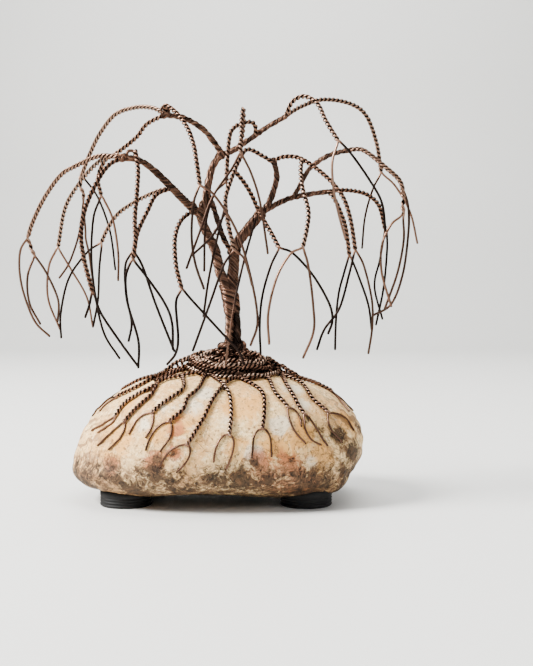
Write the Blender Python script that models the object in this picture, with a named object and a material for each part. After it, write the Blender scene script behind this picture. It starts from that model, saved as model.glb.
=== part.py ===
# A small drooping tree of twisted copper wire that grips a natural pebble with its roots.
# The pebble stands on four stuck-on rubber feet. Metres, +Z up, front towards -Y.
# The origin is under the middle of the whole piece, on the surface that its feet stand on.

import math

import bmesh
import bpy
from mathutils import Matrix, Vector
from mathutils.bvhtree import BVHTree

MM = 0.001

# Driving sizes, in millimetres
STONE_LENGTH = 64.6
STONE_DEPTH = 46.0
STONE_DOME = 19.3
STONE_BELLY = 7.65
FOOT_DIAMETER = 11.0
FOOT_CLEARANCE = 1.2
FOOT_FROM_END = 13.2
FOOT_FROM_FACE = 12.5
WIRE = 0.45
PAIR = 0.95
TRUNK_DIAMETER = 3.6
TRUNK_FLARE = 1.15
COLLAR_DIAMETER = 6.8
COLLAR_WIDTH = 2.0
COLLAR_OVER_NEST = 1.0
STEM_DIAMETER = 2.4
LIMB_DIAMETER = 1.7
BRANCH_DIAMETER = 1.2
NEST_RADIUS = 10.4
NEST_HEIGHT = 3.2
NEST_TURNS = 7.0
TRUNK_FROM_MIDDLE = 3.0
GAP = 0.06

# How finely round and curved things are cut
STONE_CUTS = 4
FOOT_SIDES = 24
PAIR_STEP = 3.4
WIRE_STEP = 5.0
ROOT_STEP = 2.4
LIMB_STEP = 2.8
NEST_STEPS = 14
COLLAR_SIDES = 8
COLLAR_TURNS = 14

# Routes are given as a front drawing shows them on the trunk's own plane, in millimetres:
# across from the trunk (+ right), up from the crest of the stone, and back from that plane.
# The drawing is a perspective one, seen from this point, so a point further back is also
# laid further out along its own line of sight, and keeps its place in the drawing.
EYE_ACROSS = 7.7
EYE_UP = 13.0
EYE_DISTANCE = 220.0

TRUNK = [(0, 0.3, 0), (0, 3.8, 0), (0.2, 8.7, 0), (-0.2, 14.3, 0), (-0.6, 17.6, 0)]

# Each limb: where it starts and ends in thickness, and its route
LIMBS = {
    "left_stem": (
        STEM_DIAMETER, LIMB_DIAMETER * 1.1,
        [(-0.6, 12.6, -0.1), (-1.4, 18.6, -0.1), (-2.7, 21.8, 0), (-3.8, 26.6, -0.6), (-6.4, 32.1, -1.2), (-7.2, 35.4, -1.4)],
    ),
    "right_stem": (
        STEM_DIAMETER * 1.1, STEM_DIAMETER * 0.9,
        [(0.2, 12.6, 0.1), (-0.1, 18.0, 0.1), (0.4, 23.2, 0.4), (0.8, 27.2, 0.4), (3.4, 31.0, 0), (6.7, 35.0, -0.4)],
    ),
    "middle_stem": (
        BRANCH_DIAMETER, BRANCH_DIAMETER,
        [(0.5, 25.6, 0.6), (-1.5, 28.4, 1.2), (-2.9, 32.2, 1.0), (-4.3, 36.6, 0.2), (-5.6, 39.4, -0.6)],
    ),
    "left_limb": (
        LIMB_DIAMETER * 1.1, BRANCH_DIAMETER,
        [(-6.9, 34.4, -1.3), (-9.2, 36.2, -2.0), (-13.6, 40.6, -4.2), (-17.4, 44.3, -6.2),
         (-21.0, 46.7, -8.0), (-24.6, 47.1, -9.0)],
    ),
    "crown_limb": (
        LIMB_DIAMETER, LIMB_DIAMETER * 0.9,
        [(-6.9, 34.0, -1.3), (-6.0, 37.3, -0.8), (-5.2, 42.0, 0), (-4.0, 45.8, 0.4), (-2.2, 48.3, 0.4)],
    ),
    "upper_left_limb": (
        BRANCH_DIAMETER * 1.1, BRANCH_DIAMETER,
        [(-2.0, 47.6, 0.4), (-3.9, 50.4, 0.2), (-6.6, 53.6, -0.6), (-10.7, 56.0, -2.0), (-15.2, 56.7, -3.4)],
    ),
    "upper_right_limb": (
        BRANCH_DIAMETER * 1.1, BRANCH_DIAMETER * 0.9,
        [(-2.8, 47.6, 0.4), (0.0, 48.6, 0.8), (3.5, 51.0, 1.4), (8.0, 54.0, 2.0), (12.1, 56.4, 2.4)],
    ),
    "high_right_limb": (
        LIMB_DIAMETER * 0.9, BRANCH_DIAMETER,
        [(6.2, 34.4, -0.4), (8.2, 37.0, 0), (9.8, 41.4, 0.2), (9.9, 44.0, 0), (9.2, 46.4, -0.4)],
    ),
    "right_limb": (
        BRANCH_DIAMETER * 1.15, BRANCH_DIAMETER * 0.9,
        [(6.0, 34.6, -0.4), (9.2, 36.4, 0.4), (12.7, 38.0, 1.2), (17.4, 39.0, 2.0), (22.5, 39.7, 2.6)],
    ),
    "right_branch": (
        BRANCH_DIAMETER * 0.9, BRANCH_DIAMETER * 0.9,
        [(13.6, 38.2, 1.4), (15.2, 41.0, 1.6), (17.4, 44.8, 1.2), (21.9, 47.8, 0.4), (27.0, 49.0, -0.4)],
    ),
}

# Each twig of twisted wire: what it leaves, its route from there to its fork, and its bare tips
TWIGS = {
    "twig_back_left_high": (
        "upper_left_limb",
        [(-15.0, 56.7, -3.3), (-17.6, 58.2, 0), (-21.7, 58.3, 5), (-26.1, 56.7, 10), (-29.4, 52.6, 14),
         (-31.7, 48.0, 17), (-33.6, 43.1, 18.5)],
        [[(-29.9, 38.2, 19.5), (-27.2, 30.6, 20.5), (-26.0, 22.0, 21)],
         [(-34.3, 38.0, 19), (-34.4, 32.0, 20), (-33.4, 26.8, 20)]],
    ),
    "twig_left_high": (
        "upper_left_limb",
        [(-15.0, 56.7, -3.3), (-19.0, 54.6, -1), (-21.4, 51.6, 1), (-25.9, 48.0, 3.5), (-28.4, 46.4, 5),
         (-29.9, 42.5, 6), (-29.2, 38.8, 6.5)],
        [[(-31.0, 33.0, 7.5), (-31.2, 22.0, 8), (-28.9, 9.0, 8), (-25.0, 2.2, 7.5)],
         [(-26.6, 33.4, 7), (-25.4, 26.0, 8), (-25.4, 19.6, 8)]],
    ),
    "twig_front_far_left": (
        "left_limb",
        [(-24.4, 47.1, -9), (-27.4, 45.6, -10.5), (-30.0, 42.0, -12), (-32.7, 36.0, -14),
         (-33.7, 30.1, -15.5), (-33.0, 24.3, -16.5), (-31.2, 17.4, -17)],
        [[(-29.2, 12.4, -17.5), (-24.5, 5.4, -18), (-20.8, 0.4, -18)],
         [(-31.8, 14.4, -17.2), (-32.8, 11.4, -17)]],
    ),
    "twig_far_left": (
        "left_limb",
        [(-24.4, 47.1, -9), (-29.5, 47.5, -6), (-35.0, 45.2, -1), (-38.6, 42.8, 2.5), (-42.6, 36.8, 6),
         (-45.4, 29.7, 8)],
        [[(-47.3, 26.0, 8.6), (-47.0, 19.0, 9.4), (-44.2, 11.0, 9.6), (-40.6, 7.2, 9.6)],
         [(-44.4, 25.0, 7.6), (-45.7, 19.6, 7.4), (-45.0, 14.4, 7.4), (-42.7, 9.9, 7.0)],
         [(-43.6, 26.2, 8.6), (-41.0, 21.4, 10.4), (-38.8, 15.4, 11.4), (-38.9, 10.5, 11.8)]],
    ),
    "twig_back_left": (
        "left_limb",
        [(-23.4, 47.1, -8.6), (-26.6, 47.6, -4), (-30.4, 45.6, 4), (-34.4, 40.9, 11), (-37.3, 35.6, 15),
         (-38.8, 27.2, 17.5)],
        [[(-40.9, 22.6, 18.2), (-41.0, 15.6, 19), (-38.2, 8.5, 19.5)],
         [(-35.9, 22.2, 18.6), (-32.4, 16.0, 20), (-31.0, 9.2, 20.5)]],
    ),
    "twig_inner_left": (
        "left_limb",
        [(-13.4, 40.4, -4.1), (-16.9, 38.9, -6.5), (-19.0, 35.0, -9), (-21.0, 30.7, -11), (-21.9, 26.6, -12)],
        [[(-23.8, 23.0, -12.6), (-23.6, 16.4, -13.4), (-22.4, 10.4, -13.8), (-23.1, 6.0, -14)],
         [(-19.9, 22.8, -12.6), (-17.0, 14.4, -13.6), (-12.8, 3.8, -14.4)]],
    ),
    "twig_back_inner_left": (
        "left_limb",
        [(-13.4, 40.4, -4.1), (-16.6, 39.6, -1.4), (-21.0, 37.6, 4), (-25.4, 34.6, 9), (-27.9, 31.0, 11.5),
         (-29.1, 28.3, 12.5)],
        [[(-32.4, 25.9, 13.4), (-36.4, 20.2, 15), (-38.2, 12.4, 15.6), (-38.1, 6.8, 15.8)],
         [(-29.6, 22.4, 13.6), (-29.9, 15.4, 14.4), (-31.0, 9.4, 14.8)]],
    ),
    "twig_front_left": (
        "left_limb",
        [(-21.4, 46.9, -8.1), (-21.6, 48.6, -10), (-21.0, 44.4, -12.4), (-21.3, 38.6, -15), (-21.7, 33.7, -17),
         (-21.6, 28.3, -18.4), (-22.1, 24.7, -19)],
        [[(-23.7, 20.4, -19.6), (-23.2, 14.4, -20.2), (-20.9, 6.4, -20.6), (-20.9, 0.1, -20.8)],
         [(-19.4, 21.0, -19.6), (-15.2, 15.0, -20.4), (-13.4, 10.4, -20.8), (-13.2, 4.2, -21)]],
    ),
    "twig_front_low_left": (
        "left_limb",
        [(-8.4, 35.6, -1.8), (-11.2, 33.4, -6), (-12.6, 30.2, -10), (-12.8, 26.3, -13.4),
         (-12.4, 22.4, -16), (-11.3, 18.1, -17.6)],
        [[(-12.5, 14.6, -18.2), (-12.0, 7.0, -18.8), (-12.6, 3.4, -18.8), (-14.6, 0.9, -18.8)],
         [(-8.9, 15.3, -18.2), (-2.4, 8.2, -18.8), (1.4, 4.0, -18.8), (2.6, 1.1, -18.6)]],
    ),
    "twig_front_middle_left": (
        "upper_left_limb",
        [(-14.4, 56.6, -3.2), (-15.0, 58.8, -5.4), (-12.5, 57.2, -9), (-10.0, 53.8, -12.4),
         (-8.6, 50.0, -15), (-7.9, 46.0, -17), (-7.2, 41.2, -18.2)],
        [[(-8.6, 36.8, -18.8), (-9.0, 29.6, -19.4), (-8.2, 23.6, -19.6), (-6.2, 17.7, -19.6)],
         [(-3.8, 38.6, -17.8), (1.1, 30.6, -17.4), (4.3, 20.0, -17), (5.7, 10.7, -17), (4.1, 5.1, -17)]],
    ),
    "twig_crown_front": (
        "upper_right_limb",
        [(4.6, 51.8, 1.5), (5.0, 54.0, -1), (4.4, 56.6, -3.6), (2.8, 58.4, -5.8), (2.1, 54.9, -7.6),
         (1.9, 48.4, -9.6)],
        [[(-0.2, 44.4, -10.4), (-4.4, 38.2, -11.6), (-7.4, 30.0, -12.4), (-10.2, 22.3, -12.8)],
         [(4.3, 43.6, -10.2), (6.2, 37.5, -11), (7.6, 28.6, -11.6), (8.0, 25.6, -11.6)]],
    ),
    "twig_crown_left": (
        "upper_right_limb",
        [(2.4, 50.2, 1.2), (3.0, 53.4, -0.6), (1.4, 54.2, -2.6), (-0.3, 52.6, -4), (-0.9, 48.6, -5),
         (-1.3, 42.0, -6)],
        [[(-4.0, 38.9, -5.8), (-5.9, 32.0, -6), (-6.2, 21.7, -6.2)],
         [(-1.4, 37.0, -6.8), (-3.2, 29.6, -7.2), (-5.2, 20.0, -7.6), (-6.4, 11.5, -7.8)]],
    ),
    "twig_front_arch": (
        "high_right_limb",
        [(9.3, 46.0, -0.3), (7.1, 47.4, -1.6), (3.4, 49.0, -3.4), (1.3, 46.0, -6), (-0.7, 40.9, -8.6),
         (-1.5, 37.4, -9.8), (-0.9, 32.6, -11), (0.4, 26.7, -12)],
        [[(-1.9, 23.0, -12.6), (-5.1, 14.1, -13.2), (-8.8, 3.9, -13.6)],
         [(2.6, 24.8, -12.4), (3.8, 21.4, -12.8), (4.5, 18.5, -13)]],
    ),
    "twig_front_low_right": (
        "twig_front_arch",
        [(0.6, 44.2, -7.0), (2.7, 41.6, -6.4), (4.5, 38.6, -5.2), (6.0, 35.2, -3.2), (7.4, 32.6, -6),
         (8.9, 30.0, -10), (10.4, 27.1, -13)],
        [[(8.6, 22.8, -13.8), (6.8, 16.4, -14.4), (6.2, 10.0, -14.8), (6.4, 3.2, -15)],
         [(13.6, 25.8, -13.6), (18.0, 21.0, -14.4), (21.6, 14.8, -15), (22.4, 10.9, -15), (21.4, 7.7, -15)]],
    ),
    "twig_front_right": (
        "twig_right_arch",
        [(15.6, 46.9, -2.6), (15.3, 44.4, -5.6), (15.7, 40.4, -9), (17.0, 35.4, -12), (16.7, 31.4, -14),
         (15.8, 27.3, -15.4)],
        [[(13.0, 25.6, -15.8), (10.0, 20.4, -16.4), (8.1, 12.4, -17), (8.3, 5.4, -17.2)],
         [(17.1, 22.6, -16), (18.1, 14.4, -16.8), (18.2, 8.4, -17.2), (15.8, 2.3, -17.4)]],
    ),
    "twig_right_arch": (
        "high_right_limb",
        [(9.2, 46.2, -0.4), (11.4, 47.3, -1.4), (15.4, 46.9, -2.6), (20.9, 43.0, -4.6), (24.6, 38.6, -6.2),
         (26.4, 33.4, -7.4), (27.5, 26.6, -8.4)],
        [[(26.2, 21.4, -9), (24.0, 13.6, -9.4), (20.6, 8.8, -9.6), (18.9, 4.2, -9.6)],
         [(29.5, 22.8, -9), (31.2, 15.4, -9.6), (31.3, 9.4, -10), (30.4, 3.3, -10)]],
    ),
    "twig_middle_right": (
        "right_limb",
        [(21.4, 39.5, 2.4), (22.7, 38.2, 0.8), (24.3, 34.8, 0.4), (25.4, 31.4, 1), (26.2, 25.4, 1.8)],
        [[(25.0, 21.4, 2), (23.8, 16.8, 2.2), (23.2, 10.8, 2.4), (23.0, 4.2, 2.4)],
         [(28.2, 20.8, 2), (30.4, 14.4, 2.4), (31.2, 8.5, 2.6)]],
    ),
    "twig_right": (
        "right_limb",
        [(22.3, 39.7, 2.6), (25.7, 39.9, 4), (30.0, 39.0, 6.4), (32.8, 36.4, 8.4), (34.2, 31.1, 10)],
        [[(33.0, 24.4, 10.8), (31.8, 18.4, 11.4), (33.6, 11.0, 11.8)],
         [(34.6, 26.4, 10), (33.8, 18.0, 10.2), (32.1, 9.7, 10.4)]],
    ),
    "twig_far_right": (
        "right_branch",
        [(26.8, 49.0, -0.4), (29.5, 48.7, -1.4), (33.9, 45.3, -2.6), (37.4, 42.0, -3.4), (38.2, 38.6, -3.8),
         (38.1, 34.5, -4)],
        [[(35.6, 32.3, -4.4), (33.5, 27.8, -4.8), (33.4, 21.6, -5), (35.6, 13.8, -5)],
         [(38.3, 28.6, -4.2), (36.9, 21.4, -4.4), (34.0, 13.2, -4.4)],
         [(39.4, 33.4, -3.2), (39.3, 28.4, -2.8), (38.0, 20.6, -2.6), (35.6, 14.6, -2.4),
          (31.4, 11.9, -2.2)]],
    ),
    "twig_upper_right_front": (
        "upper_right_limb",
        [(11.9, 56.3, 2.4), (13.5, 59.6, 0.6), (16.1, 60.8, -2), (19.0, 59.2, -5), (20.9, 55.4, -8),
         (23.6, 51.0, -10.4)],
        [[(22.4, 46.2, -11), (22.6, 40.8, -11.6), (23.6, 35.4, -12), (25.4, 28.7, -12.4)],
         [(26.6, 48.0, -11), (30.4, 42.6, -12), (33.4, 37.2, -12.8), (34.3, 30.6, -13.2)]],
    ),
    "twig_upper_right_back": (
        "upper_right_limb",
        [(11.6, 56.2, 2.3), (15.1, 58.4, 4.6), (20.1, 60.1, 7.4), (26.1, 59.3, 10), (29.9, 56.6, 12),
         (32.2, 50.6, 13.6), (33.3, 43.9, 14.6)],
        [[(36.6, 40.6, 15.4), (39.8, 34.8, 16), (41.4, 27.9, 16.4)],
         [(31.4, 40.0, 15.2), (29.7, 34.0, 16), (29.0, 26.8, 16.4)]],
    ),
}

# Single bare wires that leave a twig or a stem by themselves
SINGLE_WIRES = {
    "wire_curl": (
        "twig_front_arch",
        [(-1.3, 35.4, -10.3), (-2.6, 32.8, -11.6), (-4.6, 29.4, -13), (-9.1, 25.2, -14)],
    ),
    "wire_front": (
        "right_stem",
        [(5.4, 33.6, -0.4), (4.9, 32.0, -4), (2.9, 25.0, -9), (0.8, 16.0, -12), (-0.6, 7.4, -14),
         (-1.4, 1.1, -14.6)],
    ),
}

# Front roots: the twisted route over the stone down to the fork, and the two bare tips,
# both as the front drawing shows them, across and up
FRONT_ROOTS = [
    ([(-13.6, -0.6), (-20.1, -3.8), (-25.2, -6.4)], [[(-29.6, -9.7)], [(-30.6, -11.2)]]),
    ([(-12.4, -2.0), (-17.0, -3.7), (-23.9, -8.1), (-25.9, -10.7)], [[(-31.2, -14.1)], [(-29.7, -15.0)]]),
    ([(-11.6, -2.4), (-17.9, -6.0), (-20.1, -8.0), (-23.7, -11.8)], [[(-29.9, -17.2)], [(-27.5, -18.3)]]),
    ([(-9.4, -2.2), (-10.8, -4.5), (-13.8, -6.9), (-17.6, -9.8)],
     [[(-20.6, -11.0), (-23.0, -14.7)], [(-17.5, -12.4), (-19.2, -15.4)]]),
    ([(-5.6, -2.6), (-7.4, -4.5), (-9.9, -6.7), (-10.8, -9.2), (-13.8, -11.8)],
     [[(-17.6, -14.0), (-19.2, -18.3)], [(-13.6, -14.6), (-16.1, -18.5)]]),
    ([(-3.0, -3.2), (-4.7, -7.7), (-6.5, -11.4), (-9.7, -16.7)],
     [[(-13.6, -18.0), (-16.1, -22.1)], [(-9.2, -19.6), (-12.5, -23.2)]]),
    ([(-1.0, -3.4), (-0.7, -5.8), (-0.2, -9.6), (-0.6, -14.5)],
     [[(-2.8, -16.2), (-4.1, -21.0)], [(0.5, -17.6), (-1.6, -22.8)]]),
    ([(3.4, -3.2), (6.4, -5.2), (7.1, -9.6), (6.7, -13.2)],
     [[(4.9, -15.2), (4.5, -20.1)], [(8.3, -15.2), (8.7, -19.5)]]),
    ([(6.6, -2.8), (9.4, -5.4), (12.2, -8.7)], [[(12.6, -12.0), (16.3, -16.7)], [(14.0, -9.6), (15.0, -12.4)]]),
    ([(9.4, -2.2), (11.9, -3.6), (14.5, -8.1), (15.8, -10.0)],
     [[(16.6, -13.6), (19.6, -16.8)], [(17.9, -12.0), (21.2, -17.0)]]),
    ([(11.0, -1.6), (15.4, -3.6), (17.6, -6.7), (21.2, -10.3)],
     [[(24.6, -10.4), (27.0, -13.8)], [(21.4, -12.7), (24.6, -16.5)]]),
    ([(12.0, -0.4), (15.4, -1.2), (19.0, -3.0), (22.1, -5.2)], [[(27.2, -9.4)], [(25.6, -10.2)]]),
]

# Back roots: plainer, a fan with a gentle wander
BACK_ROOTS = 8
BACK_ROOT_FAN = (12.0, 168.0)
BACK_ROOT_REACH = (0.50, 0.62)
BACK_ROOT_WANDER = 4.0
ROOT_TIP_REACH = 0.26
ROOT_TIP_SPREAD = 7.0

# Swells and hollows of the stone: direction, how far round each spreads, and its height
STONE_LUMPS = [
    ((0.62, -0.45, -0.94), 0.30, 0.140),
    ((-0.62, -0.45, -0.64), 0.55, 0.100),
    ((0.0, -0.55, -0.83), 0.45, -0.100),
    ((0.95, -0.30, -0.30), 0.35, -0.077),
    ((0.90, -0.30, 0.35), 0.40, 0.021),
    ((-0.80, -0.30, 0.30), 0.60, -0.030),
    ((-0.25, 0.75, 0.45), 0.60, 0.030),
    ((0.35, 0.80, 0.10), 0.55, -0.030),
    ((-0.30, -0.80, 0.35), 0.50, 0.025),
]
STONE_BLUNT = 2.24
STONE_BLUNT_TO_RIGHT = 0.22
STONE_BLUNT_BELOW = 0.57


def stone_point(direction):
    """The surface of the stone in one direction from its middle, at its widest level."""
    d = Vector(direction).normalized()
    blunt = STONE_BLUNT + STONE_BLUNT_TO_RIGHT * d.x + STONE_BLUNT_BELOW * max(0.0, -d.z)
    size = sum(abs(part) ** blunt for part in d) ** (-1.0 / blunt)
    for towards, spread, height in STONE_LUMPS:
        off = (d - Vector(towards).normalized()).length / spread
        size *= 1.0 + height * math.exp(-off * off)
    upright = STONE_DOME if d.z > 0 else STONE_BELLY
    return Vector((d.x * STONE_LENGTH / 2, d.y * STONE_DEPTH / 2, d.z * upright)) * size


def stone_mesh(grow=0.0):
    """The stone as a mesh, in millimetres about its own middle; grow swells it all over."""
    shape = bmesh.new()
    bmesh.ops.create_icosphere(shape, subdivisions=STONE_CUTS, radius=1.0)
    for vert in shape.verts:
        direction = vert.co.normalized()
        vert.co = stone_point(direction)
    shape.normal_update()
    for vert, normal in [(v, v.normal.copy()) for v in shape.verts]:
        vert.co += normal * grow
    mesh = bpy.data.meshes.new("stone")
    shape.to_mesh(mesh)
    shape.free()
    return mesh


def surface_of(mesh):
    """A search tree of a mesh, for finding places on its surface."""
    shape = bmesh.new()
    shape.from_mesh(mesh)
    tree = BVHTree.FromBMesh(shape)
    shape.free()
    return tree


def laid_back(point):
    """A drawn point (across, up, back) as a place in space, along its line of sight."""
    across, up, back = point
    share = (EYE_DISTANCE + back) / EYE_DISTANCE
    return Vector((EYE_ACROSS + (across - EYE_ACROSS) * share, back, EYE_UP + (up - EYE_UP) * share))


def smooth(points, step):
    """A smooth curve through the points, cut into lengths of about one step."""
    points = [Vector(p) for p in points]
    ends = [points[0] * 2 - points[1]] + points + [points[-1] * 2 - points[-2]]
    curve = []
    for a, b, c, d in zip(ends, ends[1:], ends[2:], ends[3:]):
        cuts = max(1, round((c - b).length / step))
        for i in range(cuts):
            t = i / cuts
            curve.append(0.5 * (2 * b + (c - a) * t + (2 * a - 5 * b + 4 * c - d) * t ** 2
                                + (3 * b - a - 3 * c + d) * t ** 3))
    return curve + [points[-1]]


def tube_mesh(route, start_size, end_size=None, roundness=0):
    """A closed tube along a route; roundness 0 gives it 4 sides, 1 gives 6, 2 gives 8."""
    end_size = end_size or start_size
    curve = bpy.data.curves.new("tube", "CURVE")
    curve.dimensions = "3D"
    curve.bevel_depth = 0.5
    curve.bevel_resolution = roundness
    curve.use_fill_caps = True
    spline = curve.splines.new("POLY")
    spline.points.add(len(route) - 1)
    for i, (spot, place) in enumerate(zip(spline.points, route)):
        spot.co = (*place, 1.0)
        spot.radius = start_size + (end_size - start_size) * i / (len(route) - 1)
    holder = bpy.data.objects.new("tube", curve)
    mesh = bpy.data.meshes.new_from_object(holder)
    bpy.data.objects.remove(holder)
    bpy.data.curves.remove(curve)
    shape = bmesh.new()
    shape.from_mesh(mesh)
    bmesh.ops.remove_doubles(shape, verts=shape.verts, dist=1e-4)
    bmesh.ops.recalc_face_normals(shape, faces=shape.faces)
    shape.to_mesh(mesh)
    shape.free()
    return mesh


def combined(first, others, operation="UNION"):
    """One mesh from several, by Boolean steps."""
    holder = bpy.data.objects.new("combined", first)
    bpy.context.collection.objects.link(holder)
    tools = []
    for mesh in others:
        tool = bpy.data.objects.new("tool", mesh)
        bpy.context.collection.objects.link(tool)
        step = holder.modifiers.new("step", "BOOLEAN")
        step.operation = operation
        step.object = tool
        tools.append(tool)
    bpy.context.view_layer.update()
    evaluated = holder.evaluated_get(bpy.context.evaluated_depsgraph_get())
    result = bpy.data.meshes.new_from_object(evaluated)
    for thing in [holder, *tools]:
        bpy.data.objects.remove(thing)
    return result


def without_offcuts(mesh):
    """The largest body of a mesh; a cut can leave a sliver on the far side of what it cleared."""
    shape = bmesh.new()
    shape.from_mesh(mesh)
    left = set(shape.verts)
    bodies = []
    while left:
        body = [left.pop()]
        for vert in body:
            for edge in vert.link_edges:
                other = edge.other_vert(vert)
                if other in left:
                    left.remove(other)
                    body.append(other)
        bodies.append(body)
    bodies.sort(key=len)
    for body in bodies[:-1]:
        bmesh.ops.delete(shape, geom=body, context="VERTS")
    shape.to_mesh(mesh)
    shape.free()
    return mesh


def material(name, colour, roughness, metallic):
    paint = bpy.data.materials.new(name)
    paint.use_nodes = True
    shader = paint.node_tree.nodes["Principled BSDF"]
    shader.inputs["Base Color"].default_value = (*colour, 1.0)
    shader.inputs["Roughness"].default_value = roughness
    shader.inputs["Metallic"].default_value = metallic
    return paint


def put(name, mesh, parent, paint, crease_degrees=50.0):
    """A named piece from a mesh in millimetres, carried by its parent."""
    shape = bmesh.new()
    shape.from_mesh(mesh)
    bmesh.ops.scale(shape, vec=(MM, MM, MM), verts=shape.verts)
    shape.to_mesh(mesh)
    shape.free()
    mesh.name = name
    mesh.materials.clear()
    mesh.materials.append(paint)
    mesh.shade_smooth()
    mesh.set_sharp_from_angle(angle=math.radians(crease_degrees))
    piece = bpy.data.objects.new(name, mesh)
    piece.parent = parent
    bpy.context.collection.objects.link(piece)
    return piece


def empty(name, parent=None, place=(0.0, 0.0, 0.0)):
    thing = bpy.data.objects.new(name, None)
    thing.parent = parent
    thing.location = Vector(place) * MM
    bpy.context.collection.objects.link(thing)
    return thing


def build_feet(parent, paint):
    """Four round rubber feet, each cut to the underside that it is stuck to."""
    middle = FOOT_CLEARANCE + STONE_BELLY
    swollen = stone_mesh(grow=GAP)
    for vert in swollen.vertices:
        vert.co.z += middle
    for side, along in (("left", -1), ("right", 1)):
        for face, back in (("front", -1), ("back", 1)):
            disc = bmesh.new()
            made = bmesh.ops.create_cone(
                disc, segments=FOOT_SIDES, radius1=FOOT_DIAMETER / 2, radius2=FOOT_DIAMETER / 2,
                depth=middle, cap_ends=True)
            spot = Vector((along * (STONE_LENGTH / 2 - FOOT_FROM_END), back * (STONE_DEPTH / 2 - FOOT_FROM_FACE),
                           middle / 2))
            bmesh.ops.translate(disc, vec=spot, verts=made["verts"])
            mesh = bpy.data.meshes.new("foot")
            disc.to_mesh(mesh)
            disc.free()
            foot = combined(mesh, [swollen], "DIFFERENCE")
            put(f"bumper_foot_{face}_{side}", foot, parent, paint)


def limb_meshes(grow=0.0):
    """Every limb as its own tube, by name; grow thickens them all."""
    tubes = {"trunk": tube_mesh(smooth([laid_back(p) for p in TRUNK], LIMB_STEP),
                                TRUNK_DIAMETER * TRUNK_FLARE + grow, STEM_DIAMETER * 1.25 + grow, roundness=2)}
    for name, (start, end, route) in LIMBS.items():
        curve = smooth([laid_back(p) for p in route], LIMB_STEP)
        curve[-1] += (curve[-1] - curve[-2]).normalized() * grow / 2
        tubes[name] = tube_mesh(curve, start + grow, end + grow, roundness=1)
    return tubes


def collar_mesh():
    """The wire wound thickly round the trunk just over the nest, as one ring."""
    up = NEST_HEIGHT + PAIR + COLLAR_OVER_NEST
    shape = bmesh.new()
    made = bmesh.ops.create_circle(shape, segments=COLLAR_SIDES, radius=COLLAR_WIDTH / 2)
    bmesh.ops.rotate(shape, verts=made["verts"], matrix=Matrix.Rotation(math.pi / 2, 3, "X"))
    bmesh.ops.translate(shape, vec=((COLLAR_DIAMETER - COLLAR_WIDTH) / 2, 0, up), verts=made["verts"])
    bmesh.ops.spin(shape, geom=shape.verts[:] + shape.edges[:], cent=(0, 0, 0), axis=(0, 0, 1),
                   angle=2 * math.pi, steps=COLLAR_TURNS, use_merge=True)
    bmesh.ops.recalc_face_normals(shape, faces=shape.faces)
    mesh = bpy.data.meshes.new("collar")
    shape.to_mesh(mesh)
    shape.free()
    return mesh


def forked(route, tips):
    """A twisted pair along a route, opening into bare tips, as one solid."""
    curve = smooth([laid_back(p) for p in route], PAIR_STEP)
    pair = tube_mesh(curve, PAIR)
    inside = curve[-1] + (curve[-2] - curve[-1]).normalized() * PAIR * 0.6
    wires = []
    for tip in tips:
        wires.append(tube_mesh(smooth([inside] + [laid_back(p) for p in tip], WIRE_STEP), WIRE))
    return combined(pair, wires)


def build_twigs(parent, paint):
    """Every twig and single wire, each cut clear of what it leaves."""
    carriers = limb_meshes(grow=2 * GAP)
    for name, (_, route, _) in TWIGS.items():
        curve = smooth([laid_back(p) for p in route], PAIR_STEP)
        carriers[name] = tube_mesh(curve, PAIR + 2 * GAP)
    beside = {}
    for name, (carrier, route, tips) in TWIGS.items():
        earlier = beside.setdefault(carrier, [])
        cuts = [carriers[other].copy() for other in [carrier, *earlier]]
        put(name, without_offcuts(combined(forked(route, tips), cuts, "DIFFERENCE")), parent, paint)
        earlier.append(name)
    for name, (carrier, route) in SINGLE_WIRES.items():
        wire = tube_mesh(smooth([laid_back(p) for p in route], WIRE_STEP), WIRE)
        wire = without_offcuts(combined(wire, [carriers[carrier].copy()], "DIFFERENCE"))
        put(name, wire, parent, paint)


class StoneFinder:
    """Finds places on the stone, from the crest of the stone at the trunk."""

    def __init__(self):
        mesh = stone_mesh()
        self.tree = surface_of(mesh)
        above = Vector((TRUNK_FROM_MIDDLE, 0.0, 2 * STONE_DOME))
        self.crest = self.tree.ray_cast(above, Vector((0, 0, -1)))[0]

    def lifted(self, hit, lift):
        return hit[0] - self.crest + hit[1] * lift

    def drawn(self, across, up, lift):
        """Where the line of sight through a drawn point meets the stone."""
        eye = Vector((EYE_ACROSS, -EYE_DISTANCE, EYE_UP)) + self.crest
        spot = Vector((across, 0.0, up)) + self.crest
        hit = self.tree.ray_cast(eye, (spot - eye).normalized())
        if hit[0] is None:
            hit = self.tree.find_nearest(spot)
        return self.lifted(hit, lift)

    def over(self, x, y, lift):
        """The top of the stone at a place in plan, counted from the trunk."""
        above = Vector((x, y, 2 * STONE_DOME)) + self.crest
        hit = self.tree.ray_cast(above, Vector((0, 0, -1)))
        if hit[0] is None:
            hit = self.tree.find_nearest(Vector((x, y, 0.0)) + self.crest)
        return self.lifted(hit, lift)


def edge_of_nest(finder, towards, lift):
    """Where a root comes out from under the nest's outer turn, on its way to a place."""
    flat = Vector((towards.x, towards.y)).normalized() * (NEST_RADIUS + PAIR / 2 + GAP)
    return finder.over(flat.x, flat.y, lift)


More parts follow.
